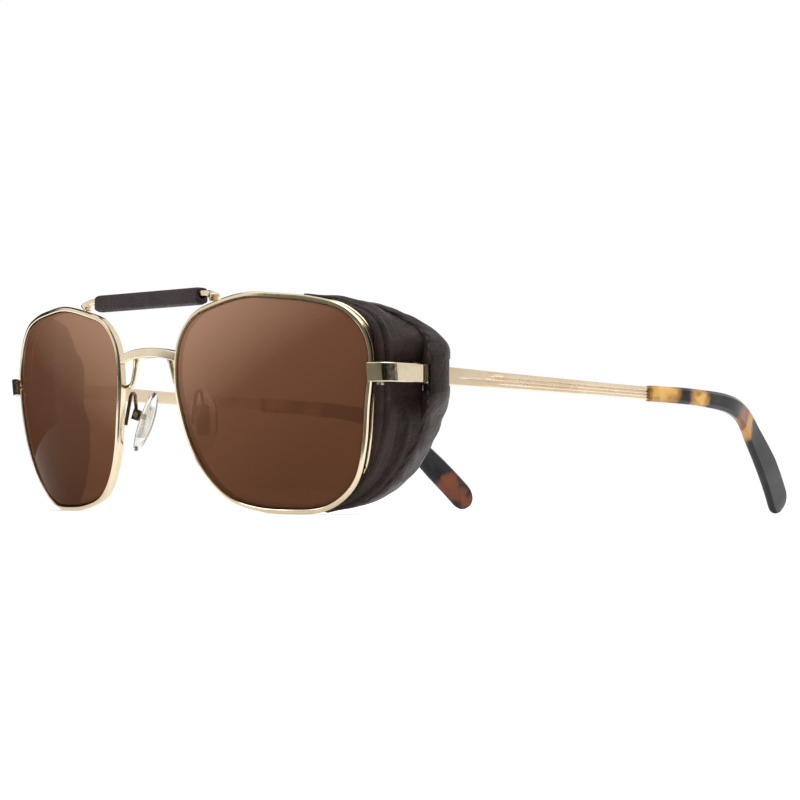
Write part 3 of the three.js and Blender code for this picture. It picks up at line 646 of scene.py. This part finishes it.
# ------------------------------------------------------------------ temples
TEMPLE_START, TEMPLE_END = 19.75, 92.2
TEMPLE_X, TEMPLE_Z = 67.55, 30.3  # at its start
TEMPLE_SPREAD, TEMPLE_DROP = 0.0188, 0.027  # per mm of length
TEMPLE_HEIGHTS = {TEMPLE_START: 4, 43: 3.5, 75: 3.05, TEMPLE_END: 3}
TEMPLE_HALF = 0.7  # half of its thickness
TEMPLE_CORNER, TEMPLE_CHAMFER = 0.16, (0.2, 0.06)  # outside and inside
GROOVES = ((-0.29, 42, 0.12), (-0.1, 31, 0.24), (0.14, 39.5, 0.26))  # height share, start, depth
GROOVE_SHAPE = ((-1, 0.02), (-0.75, 0.1), (-0.35, 0.85), (0, 1), (0.35, 0.85), (0.75, 0.1), (1, 0.02))
GROOVE_HEIGHT = 0.19  # from a groove's middle to its edge


def temple_section(y, height):
    """The temple's outline where it is y back and this high: grooved outside, plain inside."""
    radius = TEMPLE_CORNER

    def corner(turn, z):
        angles = [turn + k * math.pi / 8 for k in range(5)]
        return [(TEMPLE_HALF - radius + radius * math.cos(a), z + radius * math.sin(a)) for a in angles]

    outer = corner(-math.pi / 2, radius - height / 2)
    for share, start, depth in GROOVES:
        deep = depth * float(smooth(y, start, start + 2.5))
        outer += [(TEMPLE_HALF - deep * s, share * height + k * GROOVE_HEIGHT) for k, s in GROOVE_SHAPE]
    outer += corner(0, height / 2 - radius)
    far, near = TEMPLE_CHAMFER
    inner = [(far - TEMPLE_HALF, height / 2), (near - TEMPLE_HALF, height / 2 - near),
             (-TEMPLE_HALF, height / 2 - far)]
    return outer + inner + [(x, -z) for x, z in reversed(inner)]


def temple_mesh():
    """The flat bar back to the tip, with rows close together where the grooves begin."""
    y = np.concatenate([np.linspace(TEMPLE_START, 38, 12), np.linspace(39, 44, 14),
                        np.linspace(46, TEMPLE_END, 40)])
    run = y - TEMPLE_START
    heights = np.interp(y, list(TEMPLE_HEIGHTS), list(TEMPLE_HEIGHTS.values()))
    centre = np.stack([TEMPLE_X + TEMPLE_SPREAD * run, y, TEMPLE_Z - TEMPLE_DROP * run], -1)
    across = np.tile(unit(np.array([1, -TEMPLE_SPREAD, 0.0])), (len(y), 1))
    up = np.tile(unit(np.array([0, TEMPLE_DROP, 1.0])), (len(y), 1))
    sections = [temple_section(float(at), float(height)) for at, height in zip(y, heights)]
    return skin(sweep(centre, across, up, np.array(sections)))


TIP_PATH = [(68.9, 92.4, 28.34), (69, 110, 27.9), (67, 125.4, 26.6), (64.2, 133.9, 24.2),
            (61.6, 141.1, 19.5), (59.2, 150.1, 11.7), (56.7, 157.3, 4.4), (55.2, 161.2, -0.4)]
TIP_HEIGHTS = (3.75, 3.9, 4.4, 5, 6, 7.4, 7.7, 7.7)
TIP_THICK = (2.5, 2.4, 2.4, 2.4, 2.3, 2.3, 2.2, 2.2)
TIP_ROUND = 4.4  # the length over which the end closes
TIP_STOP = 0.979
TIP_POWER = 2.2  # 2 closes as an ellipse, more as a squarer end
TIP_BEVEL = 0.75


def tip_mesh():
    """The tortoise tip: a bevelled bar bent down, which closes at its end."""
    path = Path(TIP_PATH)
    body, last = np.linspace(0, 0.93, 90), 1 - 0.067 * np.linspace(1, 0, 40) ** 1.6
    share = TIP_STOP * np.concatenate([body, last])
    stations = np.linspace(0, 1, len(TIP_PATH))
    knots = path.run[::PER_SPAN] / path.length
    t = np.interp(share, knots, stations)
    left = np.clip((share - TIP_STOP) * path.length / TIP_ROUND + 1, 0, 1)
    close = np.maximum(0.01, 1 - left ** TIP_POWER) ** (1 / TIP_POWER)
    mouth = 1 - 0.06 * smooth(-share, -0.012, 0)
    height = np.interp(t, stations, TIP_HEIGHTS) * close * mouth
    thick = np.interp(t, stations, TIP_THICK) * (0.5 + 0.5 * close) * mouth
    along = path.along(share)
    across = unit(np.array([1.0, 0, 0]) - along * along[:, :1])
    up = np.cross(across, along)
    sections = []
    for h, w in zip(height / 2, thick / 2):
        b = min(TIP_BEVEL, w * 2 / 3)
        sections.append(rounded([(w - b, -h), (w, -h + b), (w, h - b), (w - b, h),
                                 (-w + b, h), (-w, h - b), (-w, -h + b), (-w + b, -h)], 0.22, 3))
    rings = sweep(path.at(share), across, up, np.array(sections))
    rings[..., 2] = np.maximum(rings[..., 2], -SHIFT[2])  # no lower than the ground it rests on
    return skin(rings)


# ------------------------------------------------------------------ nose pads
PAD_CENTRE = np.array([10.5, 6.5, 20.9])
PAD_WIDTH, PAD_HEIGHT, PAD_THICK = 7.2, 14.4, 1.9
PAD_SPLAY, PAD_FLARE = math.radians(30), math.radians(20)
PAD_SKEW, PAD_BOW = 0.35, 0.3  # how far the oval leans, and its middle stands out


def pad_mesh():
    """A clear cushion: a leaning oval, bowed toward the nose."""
    across = np.array([math.sin(PAD_SPLAY), math.cos(PAD_SPLAY), 0])
    down = np.array([math.sin(PAD_FLARE), 0, -math.cos(PAD_FLARE)])
    down = unit(down - across * (down @ across))
    inward = np.cross(across, down)
    a = np.linspace(0, 2 * math.pi, 64, endpoint=False)
    rows = []
    for lat in np.linspace(-0.5 * math.pi, 0.5 * math.pi, 25)[1:-1]:
        r = math.cos(lat) ** 0.55
        x = PAD_WIDTH / 2 * r * np.cos(a) - PAD_SKEW * np.sin(a)
        y = PAD_HEIGHT / 2 * r * np.sin(a)
        bow = PAD_BOW * (1 - (y / (PAD_HEIGHT / 2)) ** 2) - 0.4 * PAD_BOW
        z = math.sin(lat) * PAD_THICK / 2 + bow
        rows.append(PAD_CENTRE + across * x[:, None] + down * y[:, None] + inward * z[:, None])
    return skin(rows)


# ------------------------------------------------------------------ leather
SHIELD_START, SHIELD_END = 0.158, -0.238  # shares of the lens edge
# three routes from the top of the shield to its bottom: the roll's rear, its seam, and the hem
REAR_EDGE = Path([
    (46.8, 5.0, 46.9), (49.2, 7.9, 46.5), (52.4, 12.6, 45.9), (56.4, 17.8, 44.9),
    (59.7, 20.9, 43.6), (62.6, 23.9, 41.8), (64.0, 26.2, 39.6), (64.6, 28.3, 37.2),
    (64.7, 30.2, 34), (64.5, 31.2, 30), (64, 30.9, 26.4), (63.2, 30.3, 22.5), (62.4, 29.5, 18.6),
    (60.6, 28.1, 14), (58.8, 26.3, 10.1), (56.4, 24, 6.8), (54.2, 21.6, 4.6), (51.2, 18.7, 2.7),
    (48.2, 15.6, 1.5), (46.2, 13.2, 0.9)])
SEAM = Path([
    (47.2, 4.7, 47.0), (50.5, 8, 46.2), (54.5, 12.2, 45.2), (58.5, 17.2, 43.2), (61.8, 20.6, 40.8),
    (64.6, 22.2, 38.5), (65.7, 22.7, 36.2), (66.2, 23.0, 33.5), (66.2, 23.1, 30), (66, 22.9, 27.4),
    (65.6, 22.1, 22.7), (64.7, 21, 17.4), (63.2, 19.4, 12.6), (60.6, 17.8, 8.6), (58, 16.4, 5.7),
    (54.8, 15.2, 3.6), (51.6, 14, 2.2), (48.6, 12.2, 1.3), (46.6, 11.2, 0.8)])
HEM = Path([
    (46.9, 4.1, 47.3), (50.8, 6.2, 46.6), (55, 9.2, 45.0), (59.6, 10.7, 42.5), (62.3, 10.9, 39.5),
    (63.6, 10.8, 35.1), (63.7, 10.9, 32.2), (63.7, 11, 28), (63.6, 11.3, 24.5), (62.2, 12.3, 16.1),
    (60.6, 12.8, 11.8), (58.4, 13.0, 7.8), (55.4, 13.3, 5.3), (51.8, 12.5, 3.2), (48.5, 11.2, 1.9),
    (46.5, 10.4, 1.1)])
# the roll's corners, seen from above, where the temple passes through it
TUNNEL = np.array([(69.6, 19.7), (69.9, 26.2), (64.5, 31.0), (64.3, 22.0)])
TUNNEL_TOP, TUNNEL_MIDDLE, TUNNEL_BOTTOM = 33.0, 30.2, 27.5
TUNNEL_NEAR, TUNNEL_FAR = 3.4, 10.5  # full width this near to the middle, and none this far
LEATHER = 0.9
PANEL_OUT, PANEL_BACK = 0.7, 3.4  # where the panel starts, from the lens edge
PANEL_OVERLAP = 0.7  # how far it runs into the roll
ROLL_END, ROLL_SWELL = 0.4, 0.95  # half of the roll's thickness at its ends, and what is added
ROLL_SQUARE = 0.75  # 1 is an oval section, less is squarer
ROLL_ROWS, ROLL_COLS = 260, 64
ROLL_TOP, ROLL_BOTTOM = 0.004, 0.996
STITCH_PHASE, STITCH_PITCH = 0.085, 1.9


def at_temple(z):
    """1 at the temple's height, 0 above and below it."""
    return float(smooth(-abs(z - TUNNEL_MIDDLE), -TUNNEL_FAR, -TUNNEL_NEAR))


def roll_corners(s):
    """The roll's section at a share of its height: outer front and rear, inner rear and front."""
    seam, rear = SEAM.at(s), REAR_EDGE.at(s)
    tangent = REAR_EDGE.along(s)
    axis = unit(seam - rear)
    normal = unit(np.cross(tangent, axis))
    if normal[0] < 0:
        normal = -normal
    half = ROLL_END + ROLL_SWELL * float(smooth(min(s, 1 - s), 0.0, 0.2))
    near = at_temple((seam[2] + rear[2]) / 2)
    slim = np.array([seam + normal * half, rear + normal * half * 0.8,
                     rear - normal * half * 0.8, seam - normal * half])
    wide = np.column_stack([TUNNEL, slim[:, 2]])
    return slim * (1 - near) + wide * near, near


def shield_sheet():
    """The panel: from the rail, over the front hem, back to the roll."""
    rows, cols = 170, 60
    d = np.linspace(0, 1, rows)
    mid = np.zeros((rows, cols, 3))
    for i, s in enumerate(d):
        front = edge(SHIELD_START + (SHIELD_END - SHIELD_START) * s, PANEL_OUT, PANEL_BACK)
        hem = HEM.at(s)
        corners, near = roll_corners(s)
        share = 0.5 * (1 - near) + 0.05
        join = corners[3] * (1 - share) + corners[0] * share
        join = join + unit(corners[2] - corners[3]) * PANEL_OVERLAP
        middle = hem * 0.45 + join * 0.55 + np.array([-1.0, 0, 0]) * near
        mid[i] = Path([front, hem, middle, join]).at(np.linspace(0, 1, cols))
    return d, mid


def grid_normals(grid):
    return unit(np.cross(np.gradient(grid, axis=1), np.gradient(grid, axis=0)))


def thick_sheet(mid, thickness):
    """Both faces and the edges of a sheet whose middle is a grid."""
    n = grid_normals(mid)
    top, bottom = mid + n * thickness / 2, mid - n * thickness / 2
    return skin(np.concatenate([top, bottom[:, ::-1]], axis=1))


def shell(grid, thickness, keep):
    """A skin of some thickness on a tube's grid, left open where keep is False."""
    rows, cols = grid.shape[:2]
    du = np.gradient(grid, axis=0)
    dv = np.roll(grid, -1, axis=1) - np.roll(grid, 1, axis=1)
    n = unit(np.cross(dv, du))
    away = np.sign(((grid - grid.mean(1, keepdims=True)) * n).sum(-1).mean())
    inner = grid - n * away * thickness[:, None, None]
    faces = []
    for r in range(rows - 1):
        for c in range(cols):
            d = (c + 1) % cols
            if keep[r, c]:
                faces.append((r * cols + c, r * cols + d, (r + 1) * cols + d, (r + 1) * cols + c))
    edges = {(a, b) for f in faces for a, b in zip(f, f[1:] + f[:1])}
    k = rows * cols
    walls = [(b, a, a + k, b + k) for a, b in edges if (b, a) not in edges]
    points = np.concatenate([grid.reshape(-1, 3), inner.reshape(-1, 3)])
    faces += [tuple(i + k for i in reversed(f)) for f in faces] + sorted(walls)
    return points, outward(points, faces)


def bell(x, middle, width):
    return np.exp(-((x - middle) / width) ** 2)


def panel_relief(d, mid):
    """The hem ridge, the hollow above the end piece and the pleats below, along the normal."""
    c = np.linspace(0, 1, mid.shape[1])[None, :]
    d = d[:, None]
    sway = 0.1 * np.sin(d * 5)
    fade = smooth(d, 0.03, 0.14) * smooth(-d, -0.97, -0.86)
    low = smooth(d, 0.45, 0.62) * smooth(-d, -0.98, -0.88)
    upper = smooth(-d, -0.36, -0.2) * smooth(d, 0.04, 0.12)
    ridge = 0.45 * bell(c, 0.3, 0.03) - 0.4 * bell(c, 0.37, 0.04)
    pleat = 0.45 * bell(c + sway, 0.62, 0.07) - 0.5 * bell(c + sway, 0.76, 0.045)
    hollow = -0.95 * bell(c, 0.62, 0.18) * upper
    wave = 0.12 * np.sin(d * 37 + c * 5) * np.sin(c * math.pi)
    return mid + grid_normals(mid) * (ridge * fade + pleat * low + hollow + wave * fade)[..., None]


def squared(x):
    """A sine or cosine, made to stay longer near its ends."""
    return np.sign(x) * np.abs(x) ** ROLL_SQUARE


def roll_rings(shares, phases):
    """The roll's surface at these shares of its height and of its round."""
    a = 2 * math.pi * phases
    u, v = squared(np.cos(a)), squared(np.sin(a))
    weights = np.stack([(1 + u) * (1 + v), (1 - u) * (1 + v), (1 - u) * (1 - v), (1 + u) * (1 - v)], -1) / 4
    rings = []
    for s in shares:
        corners, near = roll_corners(s)
        middle = corners.mean(0)
        ring = weights @ corners
        calm = 1 - 0.85 * near
        swell = 0.035 * np.sin(s * 110 + 2 * np.sin(a * 3)) + 0.03 * np.sin(s * 47 + a * 2)
        rings.append(middle + (ring - middle) * (1 + calm * swell)[:, None])
    return np.array(rings)


def shield_mesh():
    """The panel and the hollow roll, with windows in the roll for the temple and the end piece."""
    d, mid = shield_sheet()
    panel = thick_sheet(panel_relief(d, mid), LEATHER)
    share = np.linspace(ROLL_TOP, ROLL_BOTTOM, ROLL_ROWS)
    rings = roll_rings(share, np.linspace(0, 1 - 1 / ROLL_COLS, ROLL_COLS))
    wall = 0.22 + 0.58 * smooth(np.minimum(share, 1 - share), 0, 0.2)
    height = rings[:, :, 2].mean(1)
    open_row = (height < TUNNEL_TOP) & (height > TUNNEL_BOTTOM)
    turn = np.arange(ROLL_COLS) / ROLL_COLS
    mouth = (turn < 0.11) | (turn > 0.875) | ((turn > 0.4) & (turn < 0.6))
    return joined([panel, shell(rings, wall, ~(open_row[:, None] & mouth[None]))])


def shield_stitches():
    """A row of stitches just behind the roll's seam, with a break at the temple."""
    rows = []
    for s in np.arange(3.0, SEAM.length - 3.0, STITCH_PITCH) / SEAM.length:
        if TUNNEL_BOTTOM - 0.6 < SEAM.at(s)[2] < TUNNEL_TOP + 0.6:
            continue
        patch = roll_rings(np.linspace(s - 0.002, s + 0.002, 3),
                           np.linspace(STITCH_PHASE - 0.01, STITCH_PHASE + 0.01, 3))
        rows.append((patch[1, 1], grid_normals(patch)[1, 1], unit(patch[2, 1] - patch[0, 1])))
    centre, normal, along = (np.array(c) for c in zip(*rows))
    middle = np.array([roll_corners(float(s))[0].mean(0) for s in np.linspace(0.02, 0.98, len(centre))])
    flip = np.sign(((centre - middle) * normal).sum(-1, keepdims=True))
    return stitches(centre, normal * flip, along, 1.0, 0.13, 0.09)


def stitches(centres, normals, along, length, width, lift):
    """Short thread bars lying on a surface, each with its ends sunk in."""
    parts = []
    for c, n, t in zip(centres, normals, along):
        u = np.linspace(-1, 1, 7)
        line = c + t * (u * length / 2)[:, None] + n * (lift * (1 - u ** 4) - 0.02)[:, None]
        parts.append(tube(line, width * (1 - 0.35 * u ** 2), 6, False))
    return joined(parts)


SLEEVE_HALF, SLEEVE_Y, SLEEVE_Z = 18.8, -0.9, 48.3
SLEEVE_SECTION = [(1.62, -1.5), (1.6, 1.92), (-1.6, 1.92), (-1.62, -1.5), (-0.5, -1.98), (0.5, -1.98)]
SLEEVE_SEAMS, SLEEVE_SEAM_Z = (-1.32, 1.32), 46.76


def sleeve_mesh():
    """The leather wrapped round the brow bar: a tube open at both ends."""
    base = rounded(SLEEVE_SECTION, [0.7, 1.1, 1.1, 0.7, 0.2, 0.2], 8)
    rings = []
    for x in np.linspace(-SLEEVE_HALF, SLEEVE_HALF, 130):
        puff = 1 - 0.09 * float(smooth(abs(x), SLEEVE_HALF - 0.9, SLEEVE_HALF))
        rings.append([(x, SLEEVE_Y + a * puff, SLEEVE_Z + b * puff) for a, b in base])
    outer = np.array(rings)
    centre = np.array([0, BROW_Y, 48.8])
    inner = centre + (outer - centre) * (1, 0.58, 0.5)
    inner[..., 0] = outer[..., 0]
    return skin(np.concatenate([outer, inner[::-1]]), loop=True)


def sleeve_stitches():
    """Two rows under the sleeve, beside the join where its leather meets."""
    rows = []
    for y in SLEEVE_SEAMS:
        tilt = unit(np.array([0, math.copysign(0.75, y), -0.66]))
        for x in np.arange(-SLEEVE_HALF + 1.2, SLEEVE_HALF - 0.8, 1.55):
            rows.append((np.array([x, SLEEVE_Y + y, SLEEVE_SEAM_Z]), tilt))
    centre, normal = (np.array(c) for c in zip(*rows))
    return stitches(centre, normal, np.tile((1.0, 0, 0), (len(centre), 1)), 0.95, 0.14, 0.12)


# ------------------------------------------------------------------ assembly
rim_points, rim_faces = rim_mesh()
# from the front's own mm to the frame's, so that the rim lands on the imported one
SHIFT = np.array([0.0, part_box("left_rim")[0][1] * 1000 - rim_points[:, 1].min(),
                  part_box("left_rim")[0][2] * 1000 - rim_points[:, 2].min()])

gold, satin, steel, bronze = gold_material(), satin_gold_material(), steel_material(), bronze_material()
lens_tint, pad_clear, tortoise = lens_material(), pad_material(), tortoise_material()
shield_leather = leather_material("shield_leather", (0.013, 0.0062, 0.0052), (0.04, 0.021, 0.018))
brow_leather = leather_material("brow_leather", (0.016, 0.008, 0.009), (0.036, 0.02, 0.021), 0.3)
thread = thread_material()


def piece(name, mesh, material, side, body, slot, *replaced):
    """A finished piece on one body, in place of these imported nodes."""
    made = build(name, *mesh, material, side)
    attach(made, body)
    for node in replaced:
        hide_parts(node)
    return made


def bevelled(node, width, material):
    """A carried-over metal part: fine rounded edges and its finish."""
    part = nodes[node]
    for slot in range(len(part.data.materials)):
        part.data.materials[slot] = material
    if not part.data.materials:
        part.data.materials.append(material)
    weld = part.modifiers.new("weld", "WELD")
    weld.merge_threshold = 0.000002
    bevel = part.modifiers.new("bevel", "BEVEL")
    bevel.width = width * 0.001
    bevel.segments = 3
    bevel.limit_method = "ANGLE"
    bevel.angle_limit = math.radians(28)
    bevel.harden_normals = True


meshes = {
    "rim": (rim_points, rim_faces), "lens": lens_mesh(), "rail": rail_mesh(), "strut": strut_mesh(),
    "temple": temple_mesh(), "tip": tip_mesh(), "pad": pad_mesh(), "shield": shield_mesh(),
    "shield_sewing": shield_stitches()}
FINISH = {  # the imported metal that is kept: its rounded edges in mm and its material
    "end_piece": (0.12, gold), "rim_lock_upper": (0.08, gold), "rim_lock_lower": (0.08, gold),
    "hinge_front": (0.08, gold), "hinge_rear": (0.08, gold), "rim_lock_screw": (0.05, steel),
    "hinge_screw": (0.05, steel), "pad_screw": (0.05, steel), "pad_insert": (0.05, steel),
    "pad_arm": (0.04, bronze)}

for side in SIDES:
    s = f"{side}_"
    weighted(piece(s + "rim_eyewire", meshes["rim"], gold, side, "front", "gold", s + "rim"))
    piece(s + "lens_glass", meshes["lens"], lens_tint, side, "front", "brown_lens", s + "lens")
    piece(s + "rail_wire", meshes["rail"], gold, side, "front", "gold", s + "shield_rail")
    piece(s + "strut_wire", meshes["strut"], gold, side, "front", "gold", s + "bridge_strut")
    weighted(piece(s + "temple_bar", meshes["temple"], satin, side, s + "temple", "gold", s + "temple"))
    weighted(piece(s + "tip_sleeve", meshes["tip"], tortoise, side, s + "temple", "tortoise",
                   s + "temple_tip"))
    cushion = piece(s + "pad_cushion", meshes["pad"], pad_clear, side, s + "pad", "clear_pad",
                    s + "nose_pad")
    leather = build(s + "shield_cover", *meshes["shield"], shield_leather, side,
                    (*meshes["shield_sewing"], thread))
    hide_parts(s + "shield_panel", s + "shield_loop")
    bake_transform(leather)
    for node, (width, finish) in FINISH.items():
        bevelled(s + node, width, finish)

weighted(piece("bridge_bar", bridge_mesh(), gold, "left", "front", "gold", "bridge"))
weighted(piece("brow_wire", brow_bar_mesh(), gold, "left", "front", "gold", "brow_bar"))
grip = build("brow_grip", *sleeve_mesh(), brow_leather, "left", (*sleeve_stitches(), thread))
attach(grip, "front")
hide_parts("brow_sleeve")


# ------------------------------------------------------------------ stage
def flat_card(name, corners, material):
    """A four-cornered stage piece, in metres."""
    mesh = bpy.data.meshes.new(name)
    mesh.from_pydata(corners, [], [(0, 1, 2, 3)])
    mesh.materials.append(material)
    card = bpy.data.objects.new(name, mesh)
    bpy.context.scene.collection.objects.link(card)
    return card


FLOOR = 6.0
flat_card("floor", [(-FLOOR, -FLOOR, 0), (FLOOR, -FLOOR, 0), (FLOOR, FLOOR, 0), (-FLOOR, FLOOR, 0)],
          floor_material())

world = bpy.data.worlds.new("studio")
bpy.context.scene.world = world
world.use_nodes = True
world.node_tree.nodes["Background"].inputs["Color"].default_value = (1, 1, 1, 1)
world.node_tree.nodes["Background"].inputs["Strength"].default_value = 1.0


def area_light(name, place, target, size, power):
    light = bpy.data.lights.new(name, "AREA")
    light.shape = "RECTANGLE"
    light.size, light.size_y = size
    light.energy = power
    lamp = bpy.data.objects.new(name, light)
    lamp.location = place
    lamp.rotation_euler = (Vector(target) - Vector(place)).to_track_quat("-Z", "Y").to_euler()
    bpy.context.scene.collection.objects.link(lamp)


def dark_flag(name, x, y, z, tone=0.01):
    """A dark card over these spans, seen only in reflections: it gives the metal dark edges."""
    material = Nodes(name, (tone, 1.04 * tone, 0.86 * tone), 0.9)
    material.set("Specular IOR Level", 0.0)
    lying = z[1] - z[0] < 0.001
    if lying:
        corners = [(x[0], y[0], z[0]), (x[1], y[0], z[0]), (x[1], y[1], z[0]), (x[0], y[1], z[0])]
    else:
        corners = [(x[0], y[0], z[0]), (x[1], y[1], z[0]), (x[1], y[1], z[1]), (x[0], y[0], z[1])]
    flag = flat_card(name, corners, material.material)
    for ray in ("camera", "diffuse", "transmission", "volume_scatter", "shadow"):
        setattr(flag, f"visible_{ray}", False)


dark_flag("front_flag", (-0.035, 0.1), (-0.2, -0.2), (0.002, 0.32), 0.15)
dark_flag("bridge_flag", (-0.122, -0.06), (-0.2, -0.2), (0.0, 0.045))
dark_flag("side_flag", (0.1, 0.64), (-0.42, 0.41), (0.0, 0.4))
dark_flag("far_flag", (-0.2, -0.2), (-0.125, 0.12), (0.001, 0.25))
dark_flag("low_flag", (-0.02, 0.1), (-0.2, -0.094), (0.001, 0.0012), 0.12)
dark_flag("low_side_flag", (0.1, 0.28), (-0.34, -0.1), (0.001, 0.0012))
area_light("key", (-0.35, -0.75, 0.75), (0, 0, 0.03), (0.5, 0.5), 3.0)
area_light("top", (0.2, 0.1, 0.9), (0, 0, 0), (0.7, 0.7), 3.0)

AZIMUTH, ELEVATION, ROLL = math.radians(45.97), math.radians(-2.07), math.radians(0.35)
CAMERA_PLACE = (444.73, -351.40, 5.52)  # in the front's own mm
camera_data = bpy.data.cameras.new("camera")
camera_data.sensor_width = 36
camera_data.lens = 111.56
camera_data.clip_start = 0.01
camera = bpy.data.objects.new("camera", camera_data)
place = (np.array(CAMERA_PLACE) + SHIFT) * 0.001
toward = np.array([-math.sin(AZIMUTH) * math.cos(ELEVATION), math.cos(AZIMUTH) * math.cos(ELEVATION),
                   -math.sin(ELEVATION)])
right = np.array([math.cos(AZIMUTH), math.sin(AZIMUTH), 0.0])
up = np.cross(right, toward)
rolled_right = right * math.cos(ROLL) + up * math.sin(ROLL)
rolled_up = up * math.cos(ROLL) - right * math.sin(ROLL)
matrix = np.eye(4)
matrix[:3] = np.stack([rolled_right, rolled_up, -toward, place], 1)
camera.matrix_world = Matrix(matrix.tolist())
bpy.context.scene.collection.objects.link(camera)
bpy.context.scene.camera = camera
bpy.context.scene.view_settings.view_transform = "Standard"
